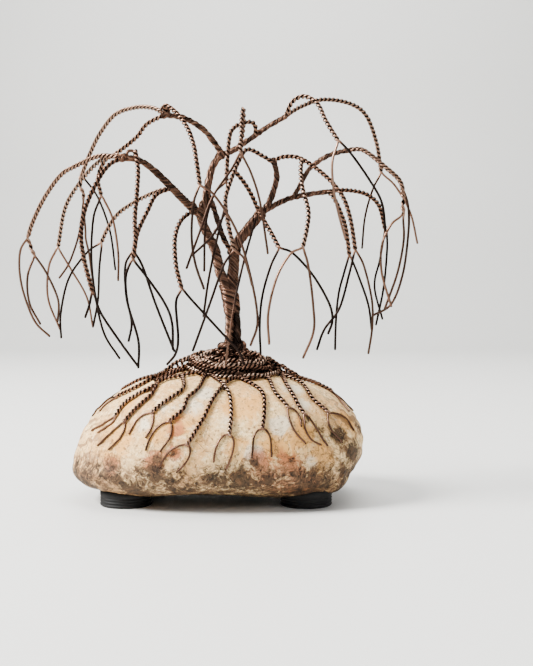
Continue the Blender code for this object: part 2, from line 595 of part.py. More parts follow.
def build_root(name, finder, places, tips, parent, paint):
    """One root: a twisted pair over the stone, and its two bare tips."""
    lift = PAIR / 2 + 3.4 * GAP
    wire_lift = WIRE / 2 + 3.4 * GAP
    run = [place(lift) for place in places]
    run[0] = edge_of_nest(finder, run[1], lift)
    curve = on_stone(finder, smooth(run, ROOT_STEP), lift)
    pair = tube_mesh(curve, PAIR)
    wires = []
    for tip in tips:
        back = (curve[-2] - curve[-1]).normalized() * PAIR * 0.6
        ends = [place(wire_lift) for place in tip]
        path = smooth([curve[-1]] + ends, ROOT_STEP)
        path = [curve[-1] + back] + on_stone(finder, path[1:], wire_lift)
        wires.append(tube_mesh(path, WIRE))
    put(name, combined(pair, wires), parent, paint)


def on_stone(finder, curve, lift):
    """A curve laid down on the stone, so that it neither floats nor cuts in."""
    laid = []
    for spot in curve:
        hit = finder.tree.find_nearest(spot + finder.crest)
        laid.append(finder.lifted(hit, lift))
    return laid


def towards_rim(bearing, share):
    """A place in plan, some share of the way from the nest's edge to the stone's rim."""
    angle = math.radians(bearing)
    half_length = STONE_LENGTH / 2 - math.copysign(TRUNK_FROM_MIDDLE, math.cos(angle))
    half_depth = STONE_DEPTH / 2
    rim = 1 / math.hypot(math.cos(angle) / half_length, math.sin(angle) / half_depth)
    reach = NEST_RADIUS + PAIR + (rim - NEST_RADIUS - PAIR) * share
    return reach * math.cos(angle), reach * math.sin(angle)


def build_roots(finder, parent, paint):
    """Twelve roots as the front shows them, and a plainer fan behind."""
    def drawn(point):
        return lambda lift: finder.drawn(*point, lift)

    for i, (route, tips) in enumerate(FRONT_ROOTS):
        places = [drawn(p) for p in route]
        ends = [[drawn(p) for p in tip] for tip in tips]
        build_root(f"root_front_{i + 1}", finder, places, ends, parent, paint)

    first, last = BACK_ROOT_FAN
    near, far = BACK_ROOT_REACH
    for i in range(BACK_ROOTS):
        bearing = first + (last - first) * i / (BACK_ROOTS - 1)
        reach = far if i % 2 else near
        wander = BACK_ROOT_WANDER * (-1) ** i

        def behind(share, turn, bearing=bearing):
            spot = towards_rim(bearing + turn, share)
            return lambda lift: finder.over(*spot, lift)

        places = [behind(0.0, 0), behind(reach / 3, wander), behind(reach * 2 / 3, -wander), behind(reach, 0)]
        ends = [[behind(reach + ROOT_TIP_REACH / 2, side * ROOT_TIP_SPREAD),
                 behind(reach + ROOT_TIP_REACH, side * ROOT_TIP_SPREAD * 0.8)] for side in (-1, 1)]
        build_root(f"root_back_{i + 1}", finder, places, ends, parent, paint)


def build_nest(finder, parent, paint):
    """The cord coiled in a low mound round the trunk's foot, one turn beside the next."""
    inner = TRUNK_DIAMETER * TRUNK_FLARE / 2 + PAIR / 2 + 2 * GAP
    steps = int(NEST_TURNS * NEST_STEPS)
    coil = []
    for i in range(steps + 1):
        share = i / steps
        angle = 2 * math.pi * share * NEST_TURNS
        radius = NEST_RADIUS + (inner - NEST_RADIUS) * share
        ground = finder.over(radius * math.cos(angle), radius * math.sin(angle), PAIR / 2 + 2 * GAP)
        coil.append(ground + Vector((0, 0, NEST_HEIGHT * share ** 1.5)))
    put("root_nest", tube_mesh(coil, PAIR), parent, paint)


def stand_on_origin(root):
    """Moves the whole piece so that the middle of its base is the origin."""
    bpy.context.view_layer.update()
    corners = [thing.matrix_world @ Vector(corner) for thing in bpy.data.objects
               if thing.type == "MESH" for corner in thing.bound_box]
    low = [min(c[axis] for c in corners) for axis in range(3)]
    high = [max(c[axis] for c in corners) for axis in range(3)]
    root.location = (-(low[0] + high[0]) / 2, -(low[1] + high[1]) / 2, -low[2])


def main():
    for thing in list(bpy.data.objects):
        bpy.data.objects.remove(thing)

    stone_paint = material("stone", (0.80, 0.66, 0.47), 0.55, 0.0)
    copper = material("oxidised_copper", (0.28, 0.15, 0.09), 0.38, 1.0)
    rubber = material("black_rubber", (0.02, 0.02, 0.02), 0.6, 0.0)

    root = empty("copper_tree")
    middle = FOOT_CLEARANCE + STONE_BELLY
    finder = StoneFinder()
    ground = empty("stone_middle", root, (0, 0, middle))
    crest = empty("crest", root, finder.crest + Vector((0, 0, middle)))

    put("stone", stone_mesh(), ground, stone_paint, crease_degrees=80.0)
    build_feet(root, rubber)

    limbs = limb_meshes()
    trunk = limbs.pop("trunk")
    put("trunk_and_limbs", combined(trunk, [collar_mesh(), *limbs.values()]), crest, copper)
    build_nest(finder, crest, copper)
    build_roots(finder, crest, copper)
    build_twigs(crest, copper)

    stand_on_origin(root)


main()
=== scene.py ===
# %% [markdown]
# # A drooping tree of copper wire on a pebble
# A small tree, about nine centimetres tall, is twisted from oxidised copper wire. Its roots grip a
# natural cream pebble that stands on four rubber feet. The solids of every piece are already
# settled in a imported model. This lesson loads them as a frame that never moves, and then gives
# each piece its real surface: wire that is truly twisted, and stone that is pitted and stained.

# %% Load the frame
import math
import random

import bmesh
import bpy
import numpy as np
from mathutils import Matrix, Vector, noise
from mathutils.bvhtree import BVHTree


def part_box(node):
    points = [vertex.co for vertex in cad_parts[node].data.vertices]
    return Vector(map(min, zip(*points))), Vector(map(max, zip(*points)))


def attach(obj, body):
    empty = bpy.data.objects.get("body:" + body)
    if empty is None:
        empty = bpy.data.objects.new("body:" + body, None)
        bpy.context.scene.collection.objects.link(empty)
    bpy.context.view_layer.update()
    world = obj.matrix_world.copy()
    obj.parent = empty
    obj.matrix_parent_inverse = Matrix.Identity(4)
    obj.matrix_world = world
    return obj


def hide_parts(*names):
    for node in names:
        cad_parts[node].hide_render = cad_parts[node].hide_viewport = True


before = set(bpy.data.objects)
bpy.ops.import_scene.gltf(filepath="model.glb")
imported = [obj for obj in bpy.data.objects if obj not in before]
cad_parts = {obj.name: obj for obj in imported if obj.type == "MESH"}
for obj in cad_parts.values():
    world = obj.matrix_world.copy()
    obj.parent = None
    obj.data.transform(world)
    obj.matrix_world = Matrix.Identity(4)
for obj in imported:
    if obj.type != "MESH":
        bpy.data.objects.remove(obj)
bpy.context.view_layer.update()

MM = 0.001

# %% [markdown]
# ## The drawing that every wire is laid out on
# The tree was drawn from the front, in millimetres: across from the trunk, up from the crest of
# the stone, and back from the trunk's own plane. The drawing is a perspective one. So a wire that
# hangs further back is also laid further out along its own line of sight, which keeps its place
# in the drawing and still gives the crown its depth. The crest is found from the frame: the feet
# give the middle of the stone, and the lowest point of the trunk stands just over the crest.

# %% The crest and the eye of the drawing
TRUNK_FROM_MIDDLE = 3.0
TRUNK_OVER_CREST = 0.3
EYE = Vector((7.7, -220.0, 13.0))

feet = [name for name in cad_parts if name.startswith("bumper_foot")]
middle = sum((sum(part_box(name), Vector()) / 2 for name in feet), Vector()) / len(feet)
trunk_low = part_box("trunk_and_limbs")[0].z
CREST = Vector((middle.x + TRUNK_FROM_MIDDLE * MM, middle.y, trunk_low - TRUNK_OVER_CREST * MM))


def laid_back(point):
    """A drawn point (across, up, back) as a place in millimetres from the crest, along its line of sight."""
    across, up, back = point
    share = (back - EYE.y) / -EYE.y
    return Vector((EYE.x + (across - EYE.x) * share, back, EYE.z + (up - EYE.z) * share))


def in_world(place):
    """A place in millimetres from the crest, in metres in the frame."""
    return CREST + Vector(place) * MM


print("the crest of the stone is at", tuple(round(c / MM, 2) for c in CREST), "mm")

# %% [markdown]
# ## The camera
# The picture is taken from close by, a little to the right of the trunk and just over the top of
# the stone. Close views spread the front of the crown, so the distance matters as much as the
# angle. The camera stands at the eye of the drawing and looks straight on and level. Its horizon lies
# a little above the middle of the picture, which a small shift of the lens gives without tipping it.

# %% Camera
HORIZON_RISE = 22.3 / 666
LENS = 53.3

camera_data = bpy.data.cameras.new("camera")
camera_data.lens = LENS
camera_data.sensor_width = 36.0
camera_data.shift_y = -HORIZON_RISE
camera_data.clip_start = 0.01
camera = bpy.data.objects.new("camera", camera_data)
bpy.context.scene.collection.objects.link(camera)
camera.location = in_world(EYE)
camera.rotation_euler = (math.radians(90.0), 0.0, 0.0)
bpy.context.scene.camera = camera
print("camera at", tuple(round(c / MM, 1) for c in camera.location), "mm")

# %% [markdown]
# ## Soft light and a pale floor
# Bare wire is a small mirror, so what it reflects decides how it looks. One soft light from the
# upper left gives each strand a pale streak, a much weaker one from the right keeps the far side
# readable, and a dim room leaves the crevices dark. A third light hangs behind the tree and
# brightens the floor and the backdrop there. The floor is wide and runs up into the backdrop
# through a long bend, so that no edge shows behind the wires.

# %% Lights, room and floor
FLOOR_WIDTH = 9.0
FLOOR_FRONT = 5.0
FLOOR_BACK = 0.8
BACKDROP_HEIGHT = 1.4
BEND = 0.35
FLOOR_PAINT = (0.72, 0.72, 0.70, 1.0)
ROOM_COLOUR = (0.80, 0.80, 0.78, 1.0)
ROOM_STRENGTH = 0.17
BACK_LIGHT_TILT = 35.0
LIGHTS = {
    # place and size in metres, power in watts, and colour
    "window": ((-0.54, -0.17, 0.52), 0.26, 24.5, (1.0, 0.985, 0.96)),
    "fill": ((0.50, -0.42, 0.40), 0.30, 2.0, (0.95, 0.97, 1.0)),
    "wall": ((0.0, 0.30, 0.95), 0.80, 21.0, (1.0, 1.0, 0.99)),
}


def soft_light(name, place, size, power, colour):
    """A square light that faces the middle of the crown."""
    data = bpy.data.lights.new(name, "AREA")
    data.shape = "SQUARE"
    data.size = size
    data.energy = power
    data.color = colour
    lamp = bpy.data.objects.new(name, data)
    bpy.context.scene.collection.objects.link(lamp)
    lamp.location = place
    aim = in_world((0, 0, 20)) - lamp.location
    lamp.rotation_euler = aim.to_track_quat("-Z", "Y").to_euler()
    return lamp


lamps = {name: soft_light(name, *row) for name, row in LIGHTS.items()}
lamps["wall"].rotation_euler = (math.radians(BACK_LIGHT_TILT), 0.0, 0.0)

world = bpy.data.worlds.new("room")
world.use_nodes = True
world.node_tree.nodes["Background"].inputs["Color"].default_value = ROOM_COLOUR
world.node_tree.nodes["Background"].inputs["Strength"].default_value = ROOM_STRENGTH
bpy.context.scene.world = world


def only(kind, geometry):
    """The vertices or edges among what a bmesh operator hands back."""
    return [part for part in geometry if isinstance(part, kind)]


def build_floor():
    """A pale sheet that lies under the piece and bends up behind it."""
    shape = bmesh.new()
    start = [shape.verts.new((side * FLOOR_WIDTH / 2, -FLOOR_FRONT, 0)) for side in (-1, 1)]
    edge = shape.edges.new(start)
    flat = bmesh.ops.extrude_edge_only(shape, edges=[edge])["geom"]
    far_corners = only(bmesh.types.BMVert, flat)
    bmesh.ops.translate(shape, vec=(0, FLOOR_FRONT + FLOOR_BACK, 0), verts=far_corners)
    flat_edges = only(bmesh.types.BMEdge, flat)
    last = [e for e in flat_edges if all(v.co.y > FLOOR_BACK - MM for v in e.verts)]
    bent = bmesh.ops.spin(
        shape, geom=last, cent=(0, FLOOR_BACK, BEND), axis=(1, 0, 0), angle=math.radians(90), steps=16)
    rise = only(bmesh.types.BMEdge, bent["geom_last"])
    backdrop = bmesh.ops.extrude_edge_only(shape, edges=rise)["geom"]
    bmesh.ops.translate(shape, vec=(0, 0, BACKDROP_HEIGHT), verts=only(bmesh.types.BMVert, backdrop))
    bmesh.ops.recalc_face_normals(shape, faces=shape.faces)
    mesh = bpy.data.meshes.new("floor")
    shape.to_mesh(mesh)
    shape.free()
    mesh.shade_smooth()
    floor = bpy.data.objects.new("floor", mesh)
    bpy.context.scene.collection.objects.link(floor)
    paint = bpy.data.materials.new("pale_floor")
    paint.use_nodes = True
    shader = paint.node_tree.nodes["Principled BSDF"]
    shader.inputs["Base Color"].default_value = FLOOR_PAINT
    shader.inputs["Roughness"].default_value = 0.45
    mesh.materials.append(paint)
    return floor


build_floor()
print("three soft lights, a dim room and a pale floor")

# %% [markdown]
# ## A short way to wire up materials
# A finish here is a small graph of nodes. Written out call by call, a graph is hard to read, so a
# little helper adds a node, sets its values by name and links whatever is handed to it as a socket.

# %% Helper for node graphs
class Graph:
    """Adds nodes to one tree; a value that is a socket is linked, anything else is set."""

    def __init__(self, tree):
        self.tree = tree

    def add(self, kind, out=0, settings=None, **inputs):
        node = self.tree.nodes.new(kind)
        for key, value in (settings or {}).items():
            setattr(node, key, value)
        for key, value in inputs.items():
            self.set(node, int(key[1:]) if key[0] == "_" else key.replace("_", " "), value)
        return node.outputs[out]

    def set(self, node, key, value):
        if isinstance(value, bpy.types.NodeSocket):
            self.tree.links.new(value, node.inputs[key])
        else:
            node.inputs[key].default_value = value

    def noise(self, vector, scale, detail=3.0, roughness=0.55, distortion=0.0):
        return self.add("ShaderNodeTexNoise", Vector=vector, Scale=scale, Detail=detail,
                        Roughness=roughness, Distortion=distortion)

    def span(self, value, low, high, to_low=0.0, to_high=1.0):
        """Value between low and high, eased onto another range."""
        return self.add("ShaderNodeMapRange", settings={"interpolation_type": "SMOOTHSTEP"},
                        _0=value, _1=low, _2=high, _3=to_low, _4=to_high)

    def math(self, operation, a, b=0.0):
        return self.add("ShaderNodeMath", settings={"operation": operation}, _0=a, _1=b)

    def mix(self, share, a, b):
        """Colour a, turning into colour b as share goes to one."""
        return self.add("ShaderNodeMix", out=2, settings={"data_type": "RGBA"}, _0=share, _6=a, _7=b)

    def layer(self, base, mask, amount, tint):
        """A tint laid over a colour where the mask is, as strongly as the amount allows."""
        return self.mix(self.math("MULTIPLY", mask, amount), base, tint)

    def attribute(self, name):
        return self.add("ShaderNodeAttribute", out=2, settings={"attribute_name": name})


def new_material(name):
    """An empty material, its graph and its shader."""
    paint = bpy.data.materials.new(name)
    paint.use_nodes = True
    return paint, Graph(paint.node_tree), paint.node_tree.nodes["Principled BSDF"]


def new_group(name, inputs, outputs):
    """A node group with named sockets, its graph, and its input and output nodes."""
    tree = bpy.data.node_groups.new(name, "ShaderNodeTree")
    for label, kind, value in inputs:
        socket = tree.interface.new_socket(label, in_out="INPUT", socket_type=kind)
        if value is not None:
            socket.default_value = value
    for label, kind in outputs:
        tree.interface.new_socket(label, in_out="OUTPUT", socket_type=kind)
    return tree, Graph(tree), tree.nodes.new("NodeGroupInput"), tree.nodes.new("NodeGroupOutput")


print("graph helper ready")

# %% [markdown]
# ## An effect that stone, copper and rubber share
# No surface here is one even colour. Each has cloudy patches a few millimetres across and a fine
# speckle inside them. One node group makes both from the piece's own Object coordinates, and each
# material says how large its clouds and its specks are.

# %% Shared group: clouds and specks
def build_mottle_group():
    tree, g, start, end = new_group(
        "mottle",
        [("Vector", "NodeSocketVector", None), ("Cloud Scale", "NodeSocketFloat", 120.0),
         ("Speck Scale", "NodeSocketFloat", 1500.0), ("Contrast", "NodeSocketFloat", 0.5)],
        [("Clouds", "NodeSocketFloat"), ("Specks", "NodeSocketFloat"), ("Both", "NodeSocketFloat")])
    vector, cloud_scale, speck_scale, contrast = start.outputs[:4]
    clouds = g.noise(vector, cloud_scale, detail=4.0, roughness=0.6, distortion=0.4)
    specks = g.noise(vector, speck_scale, detail=2.0, roughness=0.7)
    low = g.math("MULTIPLY_ADD", contrast, -0.5)
    low.node.inputs[2].default_value = 0.5
    high = g.math("MULTIPLY_ADD", contrast, 0.5)
    high.node.inputs[2].default_value = 0.5
    cloud_mask = g.span(clouds, 0.32, 0.68)
    cloud_mask = g.add("ShaderNodeMapRange", _0=cloud_mask, _1=0.0, _2=1.0, _3=low, _4=high)
    speck_mask = g.span(specks, 0.38, 0.66)
    both = g.math("MULTIPLY_ADD", speck_mask, 0.35)
    g.tree.links.new(g.math("MULTIPLY", cloud_mask, 0.65), both.node.inputs[2])
    for key, value in (("Clouds", cloud_mask), ("Specks", speck_mask), ("Both", both)):
        g.set(end, key, value)
    return tree


MOTTLE = build_mottle_group()


def mottle(g, vector, cloud_scale, speck_scale, contrast):
    """The shared group, placed in a material; returns its clouds, specks and both together."""
    node = g.tree.nodes.new("ShaderNodeGroup")
    node.node_tree = MOTTLE
    for key, value in (("Vector", vector), ("Cloud Scale", cloud_scale),
                       ("Speck Scale", speck_scale), ("Contrast", contrast)):
        g.set(node, key, value)
    return node.outputs


print("shared group", MOTTLE.name)

# %% [markdown]
# ## The pebble's shape
# The stone is a natural cobble: smooth, a little lumpy, with pits where grains fell out and soft
# ridges that swirl round its ends. The frame already holds its true form as a coarse solid. A copy
# of that solid is welded, because a loaded node is loose triangles, and subdivided until its faces
# are less than half a millimetre wide. Then every point is pushed in or out by noise, so the pits
# are real geometry and the outline stays close to where the frame has it.

# %% The stone's mesh
STONE_LEVELS = 3
WELD_DISTANCE = 1e-6
SWELL_DEPTH = 0.40
PIT_DEPTH = 0.16
RIDGE_DEPTH = 0.10
# How often each kind of relief repeats, in steps per millimetre
BROAD_SWELL = 0.085
SMALL_SWELL = 0.21
COARSE_PITS = 0.9
FINE_PITS = 2.1
SWIRL_BEND = 0.10
SWIRL_REACH = 6.0
SWIRL_SEED = 5
CAD_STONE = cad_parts["stone"]

# Blender shifts noise_vector by its noise seed, which is new in every run unless it is set
noise.seed_set(SWIRL_SEED)


def welded(obj):
    """A copy of a loaded node's mesh with its loose triangles joined."""
    shape = bmesh.new()
    shape.from_mesh(obj.data)
    bmesh.ops.remove_doubles(shape, verts=shape.verts, dist=WELD_DISTANCE)
    return shape


def evaluated_mesh(obj):
    """The mesh an object has once its modifiers have run."""
    bpy.context.view_layer.update()
    return bpy.data.meshes.new_from_object(obj.evaluated_get(bpy.context.evaluated_depsgraph_get()))


def put(name, mesh, slot, *nodes):
    """A finished piece in the frame's own place, which stands for the nodes it names."""
    piece = bpy.data.objects.new(name, mesh)
    bpy.context.scene.collection.objects.link(piece)
    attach(piece, "root")
    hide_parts(*nodes)
    return piece


STONE_MIDDLE = sum(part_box("stone"), Vector()) / 2
STONE_HALF = (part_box("stone")[1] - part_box("stone")[0]) / 2


def stone_relief(place):
    """How far the stone's surface stands out at a place, in millimetres."""
    local = (place - STONE_MIDDLE) / MM
    broad = noise.noise(local * BROAD_SWELL)
    small = noise.noise(local * SMALL_SWELL + Vector((9, 2, 5)))
    swell = broad * 0.7 + small * 0.3
    grains = noise.noise(local * COARSE_PITS + Vector((3, 7, 1)))
    fine = noise.noise(local * FINE_PITS)
    pits = min(0.0, grains + 0.18) + min(0.0, fine + 0.25) * 0.5
    to_end = min(1.0, max(0.0, abs(local.x) / (STONE_HALF.x / MM) - 0.45) * 2.2)
    swirl = local + noise.noise_vector(local * SWIRL_BEND) * SWIRL_REACH
    ridge = math.sin(swirl.x * 1.1 + swirl.z * 1.6) * to_end
    return SWELL_DEPTH * swell + PIT_DEPTH * pits + RIDGE_DEPTH * (ridge - to_end * 0.4)


def build_stone_mesh():
    shape = welded(CAD_STONE)
    mesh = bpy.data.meshes.new("stone_rough")
    shape.to_mesh(mesh)
    shape.free()
    holder = bpy.data.objects.new("stone_rough", mesh)
    bpy.context.scene.collection.objects.link(holder)
    finer = holder.modifiers.new("finer", "SUBSURF")
    finer.levels = STONE_LEVELS
    finer.render_levels = STONE_LEVELS
    fine = evaluated_mesh(holder)
    bpy.data.objects.remove(holder)
    shape = bmesh.new()
    shape.from_mesh(fine)
    shape.normal_update()
    moves = [(v, v.normal * (stone_relief(v.co) * MM)) for v in shape.verts]
    for vert, move in moves:
        vert.co += move
    shape.to_mesh(fine)
    tree = BVHTree.FromBMesh(shape)
    shape.free()
    fine.shade_smooth()
    return fine, tree


stone_mesh, STONE_TREE = build_stone_mesh()
print("stone:", len(stone_mesh.polygons), "faces")

# %% [markdown]
# ## Where the stone's colours lie
# The cream ground is broken by patches with places of their own: rust low on the right, grey-black
# staining along the bottom edge, ochre across the middle, pale quartz near the top. Noise alone
# would put them anywhere, so each is placed on the front drawing, thrown onto the stone
# along its line of sight, and painted as a soft spot into an attribute of the mesh. The hidden back
# gets a few patches of the same kinds, so that it belongs to the same stone.

# %% Paint the patches into attributes
# Each patch: across, up, radius and strength, in millimetres on the front drawing
FRONT_PATCHES = {
    "rust": [
        (11.5, -24.6, 5.4, 1.0), (6.4, -21.4, 3.0, 0.8), (-17.5, -20.5, 2.4, 0.8), (-27.0, -22.0, 2.8, 0.6),
        (-13.4, -19.0, 1.6, 0.9), (-12.2, -14.4, 2.4, 0.6), (-12.0, -11.0, 2.0, 0.5), (17.0, -26.0, 3.4, 0.6),
        (-2.0, -17.5, 1.8, 0.4), (24.0, -24.0, 2.6, 0.5)],
    "ochre": [
        (2.6, -8.3, 4.6, 0.8), (10.5, -15.5, 4.6, 1.0), (1.2, -17.4, 3.4, 0.6), (-10.8, -12.0, 3.4, 0.9),
        (-26.0, -16.0, 4.4, 0.7), (15.5, -14.5, 3.4, 0.8), (-17.0, -15.0, 3.0, 0.6), (20.0, -20.0, 4.0, 0.7),
        (26.0, -12.0, 3.0, 0.6), (-23.0, -8.0, 3.0, 0.5), (-6.5, -9.0, 2.6, 0.5)],
    "stain": [
        (-4.7, -25.0, 3.2, 1.0), (-17.2, -23.6, 2.4, 1.0), (-16.6, -20.2, 1.3, 0.9), (-13.2, -19.2, 0.8, 0.7),
        (8.1, -25.2, 2.2, 0.9), (1.3, -24.8, 3.4, 0.8), (-8.4, -26.6, 2.2, 0.6), (-23.0, -26.6, 4.6, 0.9),
        (-28.0, -25.5, 3.0, 0.6), (4.6, -20.8, 1.4, 0.7), (13.4, -23.5, 1.1, 0.9), (13.2, -20.5, 1.0, 0.6),
        (19.6, -13.4, 2.0, 0.7), (17.0, -11.5, 1.4, 0.6), (23.5, -15.0, 2.8, 0.8), (27.0, -18.5, 2.8, 0.9),
        (25.0, -23.0, 3.4, 0.8), (20.0, -27.0, 3.4, 0.7), (28.5, -13.0, 1.8, 0.6), (-10.0, -23.5, 2.0, 0.5),
        (-20.0, -20.5, 1.8, 0.4), (-12.5, -27.5, 3.0, 0.6)],
    "quartz": [
        (10.8, -12.4, 2.4, 1.0), (-9.2, -8.3, 2.6, 0.8), (4.9, -19.0, 1.8, 1.0), (-6.0, -5.4, 2.0, 0.8),
        (13.0, -4.0, 3.0, 0.8), (-14.0, -8.0, 2.4, 0.6), (15.5, -7.5, 2.4, 0.6), (-19.0, -12.0, 2.4, 0.5),
        (17.6, -21.0, 1.4, 0.8), (-1.0, -12.0, 1.8, 0.5)],
}
BACK_PATCHES = 26
BACK_PATCH_SEED = 11


def seen_on_stone(across, up):
    """The place on the stone behind a point of the front drawing, in metres."""
    eye = in_world(EYE)
    towards = (in_world((across, 0, up)) - eye).normalized()
    hit = STONE_TREE.ray_cast(eye, towards)[0]
    return hit or STONE_TREE.find_nearest(in_world((across, 0, up)))[0]


def back_patches():
    """Soft patches over the hidden side, a few of every kind."""
    dice = random.Random(BACK_PATCH_SEED)
    kinds = list(FRONT_PATCHES)
    for i in range(BACK_PATCHES):
        across = dice.uniform(-0.9, 0.9) * STONE_HALF.x
        height = dice.uniform(-0.7, 0.8) * STONE_HALF.z
        start = STONE_MIDDLE + Vector((across, 2 * STONE_HALF.y, height))
        hit = STONE_TREE.ray_cast(start, Vector((0, -1, 0)))[0]
        if hit:
            yield kinds[i % len(kinds)], hit, dice.uniform(2.0, 4.5), dice.uniform(0.5, 0.9)


def paint_patches(mesh):
    co = np.empty(len(mesh.vertices) * 3)
    mesh.vertices.foreach_get("co", co)
    co = co.reshape(-1, 3)
    spots = [(kind, seen_on_stone(across, up), size, strength)
             for kind, rows in FRONT_PATCHES.items() for across, up, size, strength in rows]
    spots += list(back_patches())
    masks = {kind: np.zeros(len(co)) for kind in FRONT_PATCHES}
    for kind, place, size, strength in spots:
        off = np.linalg.norm(co - np.array(place), axis=1) / (size * MM)
        masks[kind] = np.maximum(masks[kind], strength * np.exp(-off ** 2 * 0.9))
    for kind, mask in masks.items():
        layer = mesh.attributes.new(kind, "FLOAT", "POINT")
        layer.data.foreach_set("value", mask.astype(np.float32))
    return len(spots)


print("patches on the stone:", paint_patches(stone_mesh))

# %% [markdown]
# ## The stone's finish
# Each painted patch is only a soft spot. In the material, the spot is broken up by noise before it
# tints the ground, so its border runs ragged like a real mineral stain. The cream ground itself is
# mixed from broad clouds, brown grains and pale grains. Over it come thin swirling lines towards
# both ends, painted shade low down, black stain along the lower edge that is partly painted shade,
# veins, and fine dark pores. The stone is dull, so its roughness is high everywhere and only shifts
# a little with the clouds and specks.

# %% Stone material
STONE_COLOURS = {
    "deep cream": (0.74, 0.41, 0.135, 1),
    "cream": (0.90, 0.62, 0.28, 1),
    "tan": (0.56, 0.25, 0.075, 1),
    "pale grain": (0.94, 0.74, 0.42, 1),
    "brown grain": (0.33, 0.185, 0.09, 1),
    "fine brown": (0.46, 0.30, 0.15, 1),
    "fine pale": (0.95, 0.84, 0.62, 1),
    "ochre": (0.74, 0.35, 0.075, 1),
    "quartz": (0.82, 0.72, 0.52, 1),
    "rust": (0.40, 0.115, 0.045, 1),
    "line": (0.22, 0.115, 0.055, 1),
    # painted shade for the low part of the stone, then black and brown stain that also paint shade along the
    # low edge
    "painted_low_shade": (0.30, 0.165, 0.085, 1),
    "black stain and shade": (0.005, 0.004, 0.003, 1),
    "brown stain and shade": (0.060, 0.034, 0.018, 1),
    "vein": (0.13, 0.065, 0.03, 1),
    "pore": (0.13, 0.07, 0.035, 1),
}
PATCH_LOOKS = {
    # how much noise eats into the patch, low and high, and how strongly it tints
    "ochre": (0.24, 0.62, 0.75),
    "quartz": (0.30, 0.60, 0.80),
    "rust": (0.34, 0.60, 0.85),
}
STAIN_RAGGED = 1.9


def stone_ground(g, here, ragged, grain, dust):
    """The cream ground, from broad clouds down to single grains."""
    tint = STONE_COLOURS
    broad = g.noise(here, 55.0, detail=5.0, roughness=0.62, distortion=0.8)
    fine = g.noise(here, 1450.0, detail=5.0, roughness=0.8, distortion=0.4)
    colour = g.mix(g.span(broad, 0.38, 0.62), tint["deep cream"], tint["cream"])
    colour = g.layer(colour, g.span(ragged, 0.44, 0.68), 0.62, tint["tan"])
    colour = g.layer(colour, g.span(grain, 0.50, 0.68), 0.65, tint["pale grain"])
    colour = g.layer(colour, g.span(dust, 0.53, 0.70), 0.62, tint["brown grain"])
    colour = g.layer(colour, g.span(fine, 0.48, 0.60), 0.62, tint["fine brown"])
    return g.layer(colour, g.span(fine, 0.48, 0.36), 0.50, tint["fine pale"])


def stone_marks(g, here, colour, streak):
    """Thin swirling lines towards both ends, and painted shade low down; also gives the height's own socket.
    """
    local = g.add("ShaderNodeVectorMath", settings={"operation": "SUBTRACT"}, _0=here, _1=STONE_MIDDLE)
    x, _, z = g.add("ShaderNodeSeparateXYZ", _0=local).node.outputs
    to_end = g.span(g.math("ABSOLUTE", x), 17.0 * MM, 29.0 * MM)
    swirl = g.add("ShaderNodeTexWave", out=1, settings={"wave_type": "BANDS", "bands_direction": "DIAGONAL"},
                  Vector=here, Scale=130.0, Distortion=10.0, Detail=3.0, _4=1.6, _5=0.65)
    lines = g.math("MULTIPLY", g.span(swirl, 0.50, 0.05), to_end)
    colour = g.layer(colour, lines, 0.85, STONE_COLOURS["line"])
    # Painted shade: towards the bottom, where the underside is in shade, the stone is darkened brown.
    painted_low_shade = g.math("MULTIPLY", g.span(z, -2.0 * MM, -8.0 * MM), 0.80)
    return g.layer(colour, painted_low_shade, g.span(streak, 0.30, 0.55), STONE_COLOURS["painted_low_shade"]), z


def stone_stain_and_shade(g, colour, z, ragged, streak, dust):
    """The black stain: painted spots of real stain, and the low edge, partly stain and partly painted shade;
    both torn up by two noises.
    """
    # Darker towards the bottom: the low edge is partly stain and partly painted shade.
    low_stain_and_shade = g.math("MULTIPLY", g.span(z, -1.5 * MM, -7.5 * MM), 0.62)
    # From here on, stain means the stain spots together with the low edge's painted shade.
    stain = g.math("MAXIMUM", g.attribute("stain"), low_stain_and_shade)
    for tear in (ragged, streak):
        stain = g.math("ADD", stain, g.math("MULTIPLY", g.math("SUBTRACT", tear, 0.5), STAIN_RAGGED))
    dark = g.mix(g.span(dust, 0.36, 0.62), STONE_COLOURS["black stain and shade"], STONE_COLOURS["brown stain and shade"])
    return g.layer(colour, g.span(stain, 0.24, 0.74), 0.96, dark)


